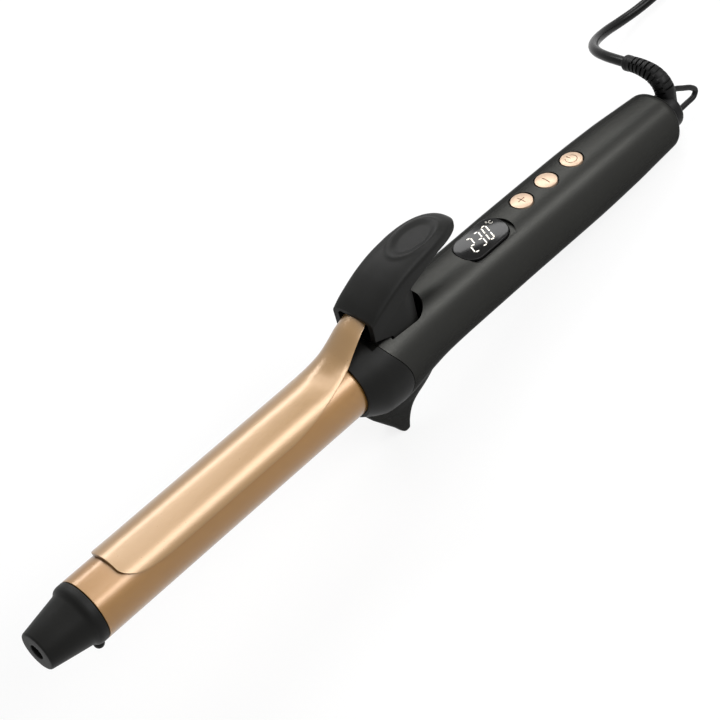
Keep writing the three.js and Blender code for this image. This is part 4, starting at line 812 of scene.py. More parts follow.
# %% Clamp plate
clamp_rings = []
arc_steps = 40
for x in stations(clamp_rows, 1.5):
    rise, spread = smooth_rows(clamp_rows, x)
    radius_here = clamp_round(x)
    reach = math.radians(spread)
    if x > neck_from:
        reach = math.asin(min(clamp_radius * math.sin(reach) / radius_here, widest_sine))
    middle = rise + clamp_radius - radius_here
    ring = []
    for radius, way in ((radius_here, 1), (radius_here - clamp_sheet, -1)):
        for k in range(arc_steps + 1):
            turn = reach * (1 - 2 * k / arc_steps) * way
            ring.append((x, radius * math.sin(turn), middle + radius * math.cos(turn)))
    clamp_rings.append(ring)
clamp = loft("clamp_plate_skin", clamp_rings)
round_edges(clamp, 0.38, angle=60)
finished(clamp, "clamp", pale_gold, ["clamp_plate"])

# %% [markdown]
# The lever is a moulded paddle over the clamp's neck: arched above, closed below at its thumb end, and hollow
# towards the front. Sculpting would give the shape but not the sizes, so it is lofted from a table of its half
# width, crown, arch, skirt and belly, and its thumb end follows an oval. The thumb's dish is an oval press in
# the arch with a low rim round it, made by moving the points of a fine grid.

# %% The lever's table
lever_rows = [
    (164.5, 10.3, 28.4, 5.0, 17.6, 0.3), (168, 10.5, 30.8, 5.2, 19.6, 0.3), (172.5, 10.6, 33.3, 5.5, 21.9, 0.3),
    (179, 10.7, 36.3, 5.8, 25, 0.4), (186, 10.7, 38.5, 6, 28, 0.6), (193, 10.6, 39.6, 6, 30.6, 1),
    (198.5, 10.3, 40.1, 6, 32.2, 1.2), (203.5, 9.8, 40.2, 5.9, 33, 1.4), (208, 8.9, 39.8, 5.7, 33, 1.4),
    (212, 7.6, 39.1, 5.3, 32.6, 1.3), (215.3, 5.8, 37.9, 4.6, 32.1, 1.2), (217.8, 3.8, 36.4, 3.6, 31.8, 1),
    (219.2, 2, 34.9, 2.4, 31.8, 1.3), (219.7, 0.6, 33.9, 1.4, 32, 0.6),
]
tip_from, tip_at, crown_from = 193.0, 219.8, 203.5
dish_at, dish_beside, dish_half_length, dish_half_width = 199.9, -0.8, 11.3, 6.4
dish_depth, dish_rim = 0.9, 0.4
dish_edge, dish_slope, rim_at, rim_spread = 0.66, 0.3, 1.06, 0.11
flatness = 2.8
crown_flattening = 0.3
lever_half_width = 10.6
thumb_skirt, thumb_skirt_drop, thumb_crown, thumb_arch, thumb_belly = 33.0, 1.2, 7.2, 5.9, 1.4
least_share = 0.0004


def lever_section(x):
    """Half width, crown, arch, skirt and belly at a station, with the thumb end closed on an oval."""
    half_width, crown, arch, skirt, belly = smooth_rows(lever_rows, x)
    if x > tip_from:
        towards_tip = (x - tip_from) / (tip_at - tip_from)
        half_width = lever_half_width * math.sqrt(max(1 - towards_tip ** 2.2, least_share))
    if x > crown_from:
        towards_tip = (x - crown_from) / (tip_at - crown_from)
        share = math.sqrt(max(1 - towards_tip ** 2.6, least_share))
        skirt = thumb_skirt - thumb_skirt_drop * towards_tip ** 2
        crown, arch, belly = skirt + thumb_crown * share, thumb_arch * share, thumb_belly * share
    return half_width, crown - crown_flattening * arch, (1 - crown_flattening) * arch, skirt, belly


def dished(x, y, z):
    """Lowers a point of the lever's top inside the dish, and lifts it on the rim."""
    r = math.hypot((x - dish_at) / dish_half_length, (y - dish_beside) / dish_half_width)
    t = min(max((r - dish_edge) / dish_slope, 0), 1)
    floor_share = 1 - t * t * (3 - 2 * t)
    return z - dish_depth * floor_share + dish_rim * math.exp(-(((r - rim_at) / rim_spread) ** 2))


print("the lever runs from", lever_rows[0][0], "to", tip_at, "mm, its dish is", dish_depth, "mm deep")

# %% Lever body
fine_from, fine_steps, end_margin = 205, 34, 0.02
lever_stations = [x for x in stations(lever_rows, 0.5) if x < fine_from]
for k in range(1, fine_steps + 1):
    lever_stations.append(fine_from + (tip_at - end_margin - fine_from) * math.sin(math.pi / 2 * k / fine_steps))
lever_rings = []
arc, belly_steps = 72, 16
for x in lever_stations:
    half_width, crown, arch, skirt, belly = lever_section(x)
    ring = []
    for k in range(arc + 1):
        turn = math.pi * k / arc
        c, high = math.cos(turn), math.sin(turn) ** (2 / flatness)
        y = half_width * math.copysign(abs(c) ** (2 / flatness), c)
        ring.append((x, y, dished(x, y, crown - arch + arch * high)))
    underside = min(skirt, crown - arch) - gap
    for k in range(1, belly_steps):
        turn = math.pi * (1 + k / belly_steps)
        ring.append((x, half_width * math.cos(turn), underside + belly * math.sin(turn)))
    lever_rings.append(ring)
lever = loft("thumb_lever_skin", lever_rings)
print("lever body:", len(lever_rings), "rings of", len(lever_rings[0]), "points")

# %% [markdown]
# The lever's front is a hood over the clamp's neck. A Solidify modifier would thin the dish as well, so the hollow
# is a second, smaller loft that is cut away. Its roof follows the neck's top, and falls slowly behind it.

# %% The lever's hollow
hollow_rings = []
lever_wall, hollow_depth = 2.7, 14.4
lever_front, neck_rear = 164.5, 186
for x in (162.5, 166, 170, 174, 178, 182, 186, 190, 194, 198):
    half_width, crown, arch, skirt, belly = smooth_rows(lever_rows, max(x, lever_front))
    roof = clamp_top(min(x, neck_rear)) + gap - max(x - neck_rear, 0) / 4
    inside = half_width - lever_wall
    low = min(skirt, roof) - hollow_depth
    corner = lever_wall / 2
    hollow_rings.append([(x, -inside, low), (x, inside, low), (x, inside, roof - corner), (x, inside - corner, roof),
                         (x, corner - inside, roof), (x, -inside, roof - corner)])
boolean(lever, [loft("hollow", hollow_rings)])
print("lever hollowed:", len(lever.data.polygons), "faces")

# %% [markdown]
# Flat outlines that are pushed through a thickness, and plain rods, are what the next cuts need. Blender could
# extrude a curve, but a short function gives a closed form at once, in any of the three directions.

# %% Slabs, rods and oblongs


def rod(name, axis, low, high, radius, at=(0, 0), steps=64):
    """A plain cutting rod along X, Y or Z."""
    rings = []
    for place in (low, high):
        ring = []
        for k in range(steps):
            turn = 2 * math.pi * k / steps
            c, s = radius * math.cos(turn), radius * math.sin(turn)
            ring.append({"x": (place, at[0] + c, at[1] + s), "y": (at[0] + c, place, at[1] + s),
                         "z": (at[0] + c, at[1] + s, place)}[axis])
        rings.append(ring)
    return loft(name, rings)


def slab(name, outline, low, high, across_y=False, roll=0.0):
    """Extrudes an outline: drawn in X and Y upwards, or drawn in X and Z through the width."""
    count = len(outline)
    points = []
    for place in (low, high):
        ring = [Vector((u, place, v)) if across_y else Vector((u, v, place)) for u, v in outline]
        points += [Matrix.Rotation(roll, 3, "X") @ p for p in ring]
    faces = [tuple(range(count)), tuple(range(count, 2 * count))]
    faces += [(k, (k + 1) % count, (k + 1) % count + count, k + count) for k in range(count)]
    return form(name, points, faces)


def oblong(front, rear, half_width, front_round, rear_round, steps=12):
    """A rounded oblong whose front and rear corners may differ."""
    outline = []
    corners = [(rear - rear_round, rear_round - half_width, rear_round, -0.5),
               (rear - rear_round, half_width - rear_round, rear_round, 0.0),
               (front + front_round, half_width - front_round, front_round, 0.5),
               (front + front_round, front_round - half_width, front_round, 1.0)]
    for x, y, radius, start in corners:
        for k in range(steps + 1):
            turn = math.pi * (start + 0.5 * k / steps)
            outline.append((x + radius * math.cos(turn), y + radius * math.sin(turn)))
    return outline


print("an oblong has", len(oblong(0, 10, 3, 2, 2)), "points")

# %% [markdown]
# Two cheeks reach down from the lever to the pivot, joined by a web behind it. They could be two plates, but the
# real ones follow the lever's plan, so one side outline is pushed through the width, trimmed by the plan, and
# hollowed by the same plan drawn one thickness smaller.

# %% The cheeks' outline
cheek_front = 164.8
front_top = pivot_at - cheek_radius + gap
rear_top = pivot_at + cheek_radius - gap
bend_steps, round_steps = 6, 24


def skirt_at(x):
    """Where a cheek ends in the lever, half a wall above its skirt."""
    return smooth_rows(lever_rows, x)[3] + lever_wall / 2


cheek_outline = [(cheek_front, smooth_rows(lever_rows, lever_front)[3] - gap)]
start = Vector((front_top - 2, cheek_underside))
bend = Vector((front_top, cheek_underside))
end = Vector((front_top, pivot_height))
for k in range(bend_steps + 1):
    t = k / bend_steps
    p = start * (1 - t) ** 2 + bend * 2 * t * (1 - t) + end * t * t
    cheek_outline.append((p.x, p.y))
for k in range(1, round_steps + 1):
    turn = math.pi * (1 + k / round_steps)
    radius = cheek_radius - gap
    cheek_outline.append((pivot_at + radius * math.cos(turn), pivot_height + radius * math.sin(turn)))
cheek_outline += [(rear_top, skirt_at(rear_top)), (cheek_front, skirt_at(cheek_front))]
print("the cheeks' outline has", len(cheek_outline), "points")

# %% Cheeks and pin hole
cheek_high = skirt_at(cheek_rear)
plan_low, plan_high, plan_margin = -1, 45, 0.01


def cheek_plan(name, inset, high):
    """The cheeks' plan from above, drawn smaller by an inset."""
    outline = oblong(lever_front - 2 * inset, cheek_rear - inset, cheek_outer - inset, gap,
                     cheek_outer - inset - plan_margin, 20)
    return slab(name, outline, plan_low, high)


cheeks = slab("cheeks", cheek_outline, -cheek_outer, cheek_outer, across_y=True)
web_end = cheek_rear + 2
web_outline = [(pivot_at, -cheek_outer), (web_end, -cheek_outer), (web_end, cheek_outer), (pivot_at, cheek_outer)]
web = slab("web", web_outline, cheek_web_low, cheek_high)
boolean(cheeks, [web], "UNION")
boolean(cheeks, [cheek_plan("plan", 0, plan_high)], "INTERSECT")
boolean(cheeks, [cheek_plan("inside", cheek_thickness, cheek_high - lever_wall / 2)])
boolean(lever, [cheeks], "UNION")
boolean(lever, [rod("pin hole", "y", -pin_reach, pin_reach, pin_radius + gap, (pivot_at, pivot_height), 48)])
finished(lever, "clamp", matte_black, ["thumb_lever"], angle=38)

# %% [markdown]
# The housing swells at the foot and narrows to the rear. Its section is a superellipse, which goes from an ellipse
# to a soft rectangle by one number. The collar and the handle could be two lofts, but then their skins would
# never quite meet, so both are cut from the same loft by the outline of the collar's round tongue.

# %% The housing's form
housing_rows = [
    (151.9, 13.9, 13.9, 0, 2), (156, 15.2, 15.7, -1, 2.05), (162, 16.6, 17.3, -1.9, 2.15),
    (170, 17.2, 17.6, -1.9, 2.15), (178, 16.8, 16.9, -1.5, 2.15), (186, 15.9, 15.9, -1, 2.2),
    (196, 15, 15, -0.7, 2.3), (208, 14.6, 14.6, -0.6, 2.4), (240, 14.55, 14.5, -0.6, 2.4),
    (262, 14.5, 14.45, -0.8, 2.4), (285, 14.4, 14.4, -1.1, 2.4), (310, 13.8, 13.8, -1.4, 2.4),
    (326, 13, 13, -1.7, 2.35), (336, 12.5, 12.5, -1.9, 2.3),
]
housing_sides, end_steps = 112, 12


def oval_ring(x, half_width, half_height, height, power, count):
    """A superellipse across the barrel: power 2 is an ellipse, and more is squarer."""
    ring = []
    for k in range(count):
        turn = 2 * math.pi * k / count
        c, s = math.cos(turn), math.sin(turn)
        ring.append((x, half_width * math.copysign(abs(c) ** (2 / power), c),
                     height + half_height * math.copysign(abs(s) ** (2 / power), s)))
    return ring


def housing(name):
    """The whole housing, with its rear end rounded over."""
    rings = [oval_ring(x, *smooth_rows(housing_rows, x), housing_sides) for x in stations(housing_rows, 1.8)]
    half_width, half_height, height, power = housing_rows[-1][1:]
    for k in range(1, end_steps + 1):
        turn = math.pi / 2 * k / end_steps
        inset = handle_round * (1 - math.cos(turn))
        rings.append(oval_ring(handle_rear - handle_round * (1 - math.sin(turn)), half_width - inset,
                               half_height - inset, height, power, housing_sides))
    return loft(name, rings)


print("the housing is", 2 * max(row[1] for row in housing_rows), "mm wide at the foot")

# %% [markdown]
# Two cuts are shared by the collar and the handle: the outline of the tongue, which may grow by the seam's
# gap, and the pocket where the lever's cheeks swing.

# %% Tongue and pocket


def bezier(p0, p1, p2, p3, steps=14):
    """Points on a cubic curve after its first point, as pairs."""
    points = []
    for k in range(1, steps + 1):
        t = k / steps
        points.append(tuple((1 - t) ** 3 * a + 3 * t * (1 - t) ** 2 * b + 3 * t * t * (1 - t) * c + t ** 3 * d
                            for a, b, c, d in zip(p0, p1, p2, p3)))
    return points


def tongue(name, grow):
    """The side outline that the collar keeps, pushed through the width, and wider all round by grow."""
    top, low = 25.0, -15 - grow
    outline = [(149.9, top), (166 + grow, top), (166 + grow, 13.5)]
    outline += bezier((166 + grow, 13.5), (167.5 + grow, 9), (172 + grow, 4), (172.2 + grow, -4))
    outline += bezier((172.2 + grow, -4), (172.2 + grow, -11), (168.5 + grow, low), (163.5, low))
    outline += bezier((163.5, low), (159.5, low), (156, -13.4 - grow), (149.9, -11.2 - grow))
    return slab(name, outline, -top, top, across_y=True)


def pocket():
    """The round-ended well of the cheeks, with a shelf in front of it for the neck."""
    floor_at, pocket_top = pivot_height - cheek_radius - 2 * gap, 37.5
    well = slab("well", oblong(172.3, 195, 10.2, gap, 10.1, 24), floor_at, pocket_top)
    shelf = slab("shelf", [(163, -8.6), (174.3, -8.6), (174.3, 8.6), (163, 8.6)], 13.3, pocket_top)
    return boolean(well, [shelf], "UNION")


print("the seam's gap is", gap, "mm")

# %% [markdown]
# The collar is the black ring round the barrel's rear end. It is what the tongue's outline keeps of the housing,
# bored for the barrel and for the leads that run under it.

# %% Collar
bore_front, duct_front, duct_rear = 149.9, 152.8, 305
collar = housing("collar_skin")
boolean(collar, [tongue("tongue", 0)], "INTERSECT")
boolean(collar, [rod("bore", "x", bore_front, barrel_rear + gap, barrel_radius + gap, (0, 0), 128),
                 rod("duct", "x", duct_front, duct_rear, duct_radius, (0, duct_drop), 48), pocket()])
finished(collar, "handle", matte_black, ["collar"])

# %% [markdown]
# The handle takes the rest of the housing with its wedge-shaped foot. The foot is a loft downwards, and what
# passes the table's level is cut off by a block that lies level while the iron leans, so it stands flat.

# %% Foot
foot_rows = [
    (-6, 157, 197, 14), (-12, 157, 194.5, 12.4), (-16, 157.3, 192, 10.8), (-19.5, 158, 188.6, 9.4),
    (-22.5, 159.3, 184.4, 8.2), (-25, 161.2, 181, 7.5), (-28, 163.6, 178.5, 6.8), (-31, 166, 177, 6.2),
    (-34, 168.4, 175.8, 5.7), (-38.4, 171.4, 174.6, 5.2),
]
foot_top, foot_drop, foot_ring_count = -6, 32.4, 48
foot_table = [(-row[0],) + row[1:] for row in foot_rows]
foot_rings = []
for k in range(foot_ring_count):
    z = foot_top - foot_drop * k / (foot_ring_count - 1)
    front, rear, half_width = smooth_rows(foot_table, -z)
    middle = (front + rear) / 2
    foot_rings.append([(middle + p[2], p[1], z) for p in oval_ring(0, half_width, (rear - front) / 2, 0, 3, 64)])
shell = housing("handle_skin")
boolean(shell, [loft("foot", foot_rings)], "UNION")
print("handle with its foot:", len(shell.data.polygons), "faces")

# %% [markdown]
# The handle is a hollow shell, as a moulded one is. The hollow and the ways for the barrel, the leads and the
# swivel are smooth lofts and rods. The window's recess is rolled about the barrel's axis with its glass, so one
# outline serves the recess, the ledge and the glass.

# %% Cuts of the handle
cavity_rings = []
for x in (199, 208, 240, 262, 285, 310, 327):
    w, h, z, power = smooth_rows(housing_rows, x)
    cavity_rings.append(oval_ring(x, w - handle_wall, h - handle_wall, z, power, 48))
block_half, block_depth = 60, 60.0
foot_corner = Vector((foot_rear, 0, -foot_reach))
table_rings = []
for drop in (-block_depth, 0.0):
    ring = []
    for u, v in [(i * block_half, j * block_half) for i, j in ((-1, -1), (1, -1), (1, 1), (-1, 1))]:
        ring.append(foot_corner + Vector((math.cos(lean) * u + math.sin(lean) * drop, v,
                                          math.sin(lean) * u + math.cos(lean) * drop)))
    table_rings.append(ring)


def window_outline(grow):
    """The glass from above, almost half round at both ends, and wider all round by grow."""
    return oblong(219.3 - grow, 244.2 + grow, 6.8 + grow, 6.2 + grow, 6.2 + grow, 16)


through_skin, ledge_depth, ledge_along, ledge_across = 30, 1.3, 1, -2.2
cuts = [
    tongue("tongue", gap), rod("barrel path", "x", 0, barrel_rear + 2 * gap, barrel_radius + gap, (0, 0), 128),
    rod("duct", "x", barrel_rear, 201, duct_radius, (0, duct_drop), 48),
    rod("pin hole", "y", -pin_reach, pin_reach, pin_radius + gap, (pivot_at, pivot_height), 48),
    rod("rear hole", "x", 325, 343.5, 9.3, (0, swivel_height), 96), loft("cavity", cavity_rings),
    loft("table", table_rings), pocket(),
    slab("recess", window_outline(gap), lens_height - lens_thickness - gap, through_skin, roll=lens_roll),
    slab("ledge", [(x + ledge_along, y + ledge_across) for x, y in window_outline(gap)],
         lens_height - ledge_depth, through_skin, roll=lens_roll),
    slab("window way", oblong(220.9, 242.6, 5.2, 2.9, 4.6, 12), 5.65, lens_height - lens_thickness, roll=lens_roll),
]
print("cuts of the handle:", len(cuts))

# %% [markdown]
# Each button stands in a hole with a seat, and each screw sits under the handle in a seat with a narrower way.
# A hole and its seat could be two rods, but two cutters that share a face leave stray faces, so each pair is one
# stepped turned form, and all of them are joined into one cutter.

# %% Holes for the buttons and the screws
button_ring, seat_ring, seat_depth = 0.35, 0.7, 1.0
screw_places = (210, 302)
screw_head, screw_shank = 3.0, 1.6
fitting_holes = []
for x in button_places:
    half_width, half_height, height, power = smooth_rows(housing_rows, x)
    seat = height + half_height - seat_depth
    fitting_holes.append(revolve("button hole", [
        (0, 0), (0, button_radius + button_ring), (seat, button_radius + button_ring),
        (seat, button_radius + seat_ring), (through_skin, button_radius + seat_ring), (through_skin, 0),
    ], axis="z", at=(x, 0)))
for x in screw_places:
    half_width, half_height, height, power = smooth_rows(housing_rows, x)
    under = height - half_height
    fitting_holes.append(revolve("screw hole", [
        (under - 2, 0), (under - 2, screw_head), (under + 1.4, screw_head), (under + 1.4, screw_shank),
        (under + 4.8, screw_shank), (under + 4.8, 0),
    ], axis="z", at=(x, 0), steps=50))


def joined(name, parts):
    """Several forms that don't touch, as one."""
    points, faces = [], []
    for part in parts:
        first = len(points)
        points += [tuple(vertex.co) for vertex in part.data.vertices]
        faces += [tuple(first + k for k in face.vertices) for face in part.data.polygons]
        bpy.data.objects.remove(part)
    return form(name, points, faces)


cuts.append(joined("fitting holes", fitting_holes))
boolean(shell, cuts)
finished(shell, "handle", lacquer, ["handle_shell"])

# %% [markdown]
# The window is a slab of black glass that stands a little proud on the user's side. It could be left sharp, but
# real glass has a polished edge that catches the light, so a bevel rounds it.

# %% Window
lens = slab("display_window", window_outline(0), lens_height - lens_thickness, lens_height, roll=lens_roll)
round_edges(lens, 0.45, angle=50, segments=4)
finished(lens, "handle", window, ["display_lens"])

# %% [markdown]
# The reading is drawn with lit bars, as a seven-segment display does. A font would need its own file and would look
# too even: here each bar is a thin, pointed strip in a slanted cell, so one table of bars serves every digit.

# %% Thin flat pieces and bars
cell_width = Vector((2.1, -0.45))
cell_height = Vector((2.75, 7.3))
bar_width, bar_gap = 0.52, 0.3
bars = {"a": ((0, 1), (1, 1)), "b": ((1, 1), (1, 0.5)), "c": ((1, 0.5), (1, 0)), "d": ((0, 0), (1, 0)),
        "e": ((0, 0.5), (0, 0)), "f": ((0, 1), (0, 0.5)), "g": ((0, 0.5), (1, 0.5))}
lit_bars = {"2": "abged", "3": "abgcd", "0": "abcdef"}


def flat_pieces(name, outlines, low, high, roll):
    """Several thin slabs as one mesh."""
    points, faces = [], []
    for outline in outlines:
        count, first = len(outline), len(points)
        for place in (low, high):
            points += [Matrix.Rotation(roll, 3, "X") @ Vector((u, v, place)) for u, v in outline]
        faces.append(tuple(first + k for k in range(count)))
        faces.append(tuple(first + count + k for k in range(count)))
        for k in range(count):
            near, far = first + k, first + (k + 1) % count
            faces.append((near, far, far + count, near + count))
    return form(name, points, faces)


def bar_outline(start, end, width):
    """A strip with pointed ends."""
    way = (end - start).normalized()
    side = Vector((-way.y, way.x)) * width / 2
    inset = way * (width / 2 + bar_gap)
    low, high = start + inset, end - inset
    return [start + way * bar_gap, low + side, high + side, end - way * bar_gap, high - side, low - side]


print("bars of a digit:", len(bars))

# %% Digits
digit_places = (Vector((224.75, -3.3)), Vector((229.05, -3.35)), Vector((233.3, -3.4)))
ink_low, ink_high = lens_height - 0.1, lens_height + 0.02
outlines = []
for digit, corner in zip("230", digit_places):
    for bar in lit_bars[digit]:
        (u0, v0), (u1, v1) = bars[bar]
        start = corner + cell_width * u0 + cell_height * v0
        end = corner + cell_width * u1 + cell_height * v1
        outlines.append(bar_outline(start, end, bar_width))
digits = flat_pieces("display_digits", outlines, ink_low, ink_high, lens_roll)
finished(digits, "handle", lit)

# %% [markdown]
# The unit beside the digits is a small ring and an open round letter. Both are bent strips, so one function draws
# them, and it draws the arc of the power sign as well.

# %% Unit


def arc_outline(centre, radius, width, start, end, steps=14):
    """A bent strip round a centre, from one angle to another in degrees."""
    outer, inner = [], []
    for k in range(steps + 1):
        turn = math.radians(start + (end - start) * k / steps)
        ray = Vector((math.cos(turn), math.sin(turn)))
        outer.append(centre + ray * (radius + width / 2))
        inner.append(centre + ray * (radius - width / 2))
    return outer + inner[::-1]


unit = flat_pieces("display_unit", [arc_outline(Vector((239.7, 4.3)), 0.36, 0.22, 0, 350),
                                    arc_outline(Vector((240.9, 3.1)), 0.75, 0.26, 35, 320)],
                   ink_low, ink_high, lens_roll)
finished(unit, "handle", lit_small)

# %% [markdown]
# The buttons are low turned discs with a soft crown, each in a narrow ring gap. Their signs are pressed in and
# inked. A picture on the disc would look printed, so the same outlines cut a groove in the disc and, a little
# lower, make the ink on the groove's floor.

# %% The buttons' signs


def box_outline(x, y, half_x, half_y, turn=0.0):
    """A turned rectangle round a point."""
    corners = [(-half_x, -half_y), (half_x, -half_y), (half_x, half_y), (-half_x, half_y)]
    c, s = math.cos(turn), math.sin(turn)
    return [Vector((x + u * c - v * s, y + u * s + v * c)) for u, v in corners]


def plus_outline(x, y, reach_x, reach_y, half):
    """A plus of two crossing bars of half a width."""
    return [Vector((x + u, y + v)) for u, v in (
        (-reach_x, -half), (-half, -half), (-half, -reach_y), (half, -reach_y), (half, -half), (reach_x, -half),
        (reach_x, half), (half, half), (half, reach_y), (-half, reach_y), (-half, half), (-reach_x, half))]


signs = {
    "plus": [plus_outline(257.2, 0, 1.7, 2.1, 0.2)],
    "minus": [box_outline(271.6, -0.3, 0.22, 2.2, math.radians(-6))],
    "power": [arc_outline(Vector((287.2, -0.2)), 2.35, 0.36, 125, 415, 32), box_outline(287.2, 1.35, 0.18, 1.15)],
}
print("signs:", list(signs))

# %% Buttons
flange_radius = 5.4
groove_floor, ink_top = 0.12, 0.135


def linear_row(rows, at):
    """Reads a table at a station in straight steps."""
    k = 0
    while k + 2 < len(rows) and rows[k + 1][0] < at:
        k += 1
    t = (at - rows[k][0]) / (rows[k + 1][0] - rows[k][0])
    return [a + t * (b - a) for a, b in zip(rows[k], rows[k + 1])][1:]


for name, at in zip(signs, button_places):
    half_width, half_height, height, power = linear_row(housing_rows, at)
    top = half_height + height
    share = flange_radius / (half_width - handle_wall)
    under = height + (half_height - handle_wall) * (1 - share ** power) ** (1 / power)
    disc = revolve("button_" + name + "_skin", rounded([
        (under - 1.5, 0, 0), (under - 1.5, flange_radius, 0.15), (under - 0.6, flange_radius, 0.15),
        (under - 0.6, 4.5, 0.1), (top - 0.1, button_radius, 0.35), (top + 0.25, 3.3, 1.2),
        (top + 0.42, 1.2, 0.6), (top + 0.45, 0, 0),
    ], 6), axis="z", at=(at, 0), steps=96)
    boolean(disc, [flat_pieces("groove", signs[name], top + groove_floor, top + 2, 0)])
    finished(disc, name + "_key", button_gold, ["button_" + name])
    ink = flat_pieces("sign_" + name, signs[name], top - 0.1, top + ink_top, 0)
    finished(ink, name + "_key", sign_ink)

# %% [markdown]
# The strain relief is moulded in one with its hub, spindle and hanging loop. Its body is a tube swept along the
# same curve as the solid's. A bevelled curve could make the tube too, but its rings may twist, and here each ring
# turns as little as it can, so that the slots stay in rows.

# %% A tube along points


def swept(name, points, radii, sides, side):
    """A tube along points whose rings turn as little as they can."""
    rings, side = [], Vector(side)
    for k, point in enumerate(points):
        forward = (points[min(k + 1, len(points) - 1)] - points[max(k - 1, 0)]).normalized()
        side = (side - forward * side.dot(forward)).normalized()
        other = forward.cross(side)
        turns = [2 * math.pi * n / sides for n in range(sides)]
        rings.append([point + (side * math.cos(turn) + other * math.sin(turn)) * radii[k] for turn in turns])
    return loft(name, rings)


relief_steps = 160
relief_points, relief_length = through([
    (346.2, 0, -2), (346.6, 0.4, 2.5), (346.9, 0.9, 7.2), (347, 2.8, 10.8), (347, 5.9, 13.2), (347, 9.7, 14.3),
    (347.2, 14, 14.5), (347.6, 20.4, 13.7),
], relief_steps + 1)
print("the relief's curve is", round(relief_length, 1), "mm long")

# %% Where a slot lies
relief_thick, relief_thin, taper_from = 4.3, 3.25, 0.25
slot_pitch, first_slot, slots_long, slots_short = 2.0, 9.5, 10, 9


def relief_radius(length):
    """The tube's radius after a length of its curve: thick at first, and thinner towards the cord."""
    t = min(max((length / relief_length - taper_from) / (1 - taper_from), 0), 1)
    return relief_thick + (relief_thin - relief_thick) * t * t * (3 - 2 * t)


def relief_at(length):
    """The curve's point and direction after a length."""
    index = min(max(length / relief_length * relief_steps, 1), relief_steps - 1)
    k = int(index)
    point = relief_points[k].lerp(relief_points[k + 1], index - k)
    return point, (relief_points[k + 1] - relief_points[k - 1]).normalized()


def slot_places():
    """The place, the turn and the reach of each slot: four rows, two of them shifted by half a pitch."""
    places, turns, reaches = [], [], []
    rows = [(0, slots_long, 0.0), (math.pi, slots_long, 0.0),
            (math.pi / 2, slots_short, 0.5), (-math.pi / 2, slots_short, 0.5)]
    for turn, count, shift in rows:
        for k in range(count):
            length = first_slot + slot_pitch * (k + shift)
            point, forward = relief_at(length)
            side = Vector((1, 0, 0))
            side = (side - forward * side.dot(forward)).normalized()
            side.rotate(Matrix.Rotation(turn, 3, forward))
            turned = Matrix((forward, side, forward.cross(side))).transposed()
            places.append(point + side * relief_radius(length))
            turns.append(turned.to_euler())
            reaches.append(relief_radius(length))
    return places, turns, reaches


print("slots:", len(slot_places()[0]))

# %% [markdown]
# The rows of slots let the relief bend. Cutting them one by one would repeat the same shape 38 times, so Geometry
# Nodes lay one cutter on every point: the points carry their turn and their reach as attributes, the tree reads
# them, and its inputs set a slot's width and depth for all of them at once.

# %% The slots' node tree


def slot_tree():
    """The node tree and the identifiers of its three inputs."""
    tree = bpy.data.node_groups.new("relief slots", "GeometryNodeTree")
    tree.interface.new_socket("Geometry", in_out="INPUT", socket_type="NodeSocketGeometry")
    tree.interface.new_socket("Geometry", in_out="OUTPUT", socket_type="NodeSocketGeometry")
    inputs = []
    for socket, kind in (("Slot Width", "Float"), ("Slot Depth", "Float"), ("Finish", "Material")):
        inputs.append(tree.interface.new_socket(socket, in_out="INPUT", socket_type="NodeSocket" + kind).identifier)
    source = tree.nodes.new("NodeGroupInput")
    result = tree.nodes.new("NodeGroupOutput")
    size = tree.nodes.new("ShaderNodeCombineXYZ")
    cube = tree.nodes.new("GeometryNodeMeshCube")
    lay = tree.nodes.new("GeometryNodeInstanceOnPoints")
    turn_read = tree.nodes.new("GeometryNodeInputNamedAttribute")
    turn_read.data_type = "FLOAT_VECTOR"
    turn_read.inputs["Name"].default_value = "turn"
    reach_read = tree.nodes.new("GeometryNodeInputNamedAttribute")
    reach_read.data_type = "FLOAT"
    reach_read.inputs["Name"].default_value = "reach"
    stretch = tree.nodes.new("ShaderNodeCombineXYZ")
    stretch.inputs["X"].default_value = 1
    stretch.inputs["Y"].default_value = 1
    realize = tree.nodes.new("GeometryNodeRealizeInstances")
    paint = tree.nodes.new("GeometryNodeSetMaterial")
    size.inputs["Z"].default_value = slot_length_share
    tree.links.new(source.outputs["Slot Width"], size.inputs["X"])
    tree.links.new(source.outputs["Slot Depth"], size.inputs["Y"])
    tree.links.new(size.outputs[0], cube.inputs["Size"])
    tree.links.new(source.outputs["Geometry"], lay.inputs["Points"])
    tree.links.new(cube.outputs["Mesh"], lay.inputs["Instance"])
    tree.links.new(turn_read.outputs["Attribute"], lay.inputs["Rotation"])
    tree.links.new(reach_read.outputs["Attribute"], stretch.inputs["Z"])
    tree.links.new(stretch.outputs[0], lay.inputs["Scale"])
    tree.links.new(lay.outputs["Instances"], realize.inputs["Geometry"])
    tree.links.new(realize.outputs["Geometry"], paint.inputs["Geometry"])
    tree.links.new(source.outputs["Finish"], paint.inputs["Material"])
    tree.links.new(paint.outputs["Geometry"], result.inputs["Geometry"])
    return tree, inputs


slot_length_share = 1.5
slot_nodes, slot_inputs = slot_tree()
print("nodes in the tree:", len(slot_nodes.nodes))

# %% Slot cutters


def slot_cutters(width, depth):
    """One cutter for each slot, laid on the relief by the node tree."""
    places, turns, reaches = slot_places()
    mesh = bpy.data.meshes.new("slot places")
    mesh.from_pydata([tuple(p) for p in places], [], [])
    mesh.attributes.new("turn", "FLOAT_VECTOR", "POINT").data.foreach_set("vector", [v for e in turns for v in e])
    mesh.attributes.new("reach", "FLOAT", "POINT").data.foreach_set("value", reaches)
    holder = bpy.data.objects.new("slot cutters", mesh)
    scene.collection.objects.link(holder)
    step = holder.modifiers.new("slots", "NODES")
    step.node_group = slot_nodes
    for socket, value in zip(slot_inputs, (width, 2 * depth, rubber)):
        step[socket] = value
    apply_modifiers(holder)
    print("slot cutters:", len(holder.data.polygons) // 6)
    return holder


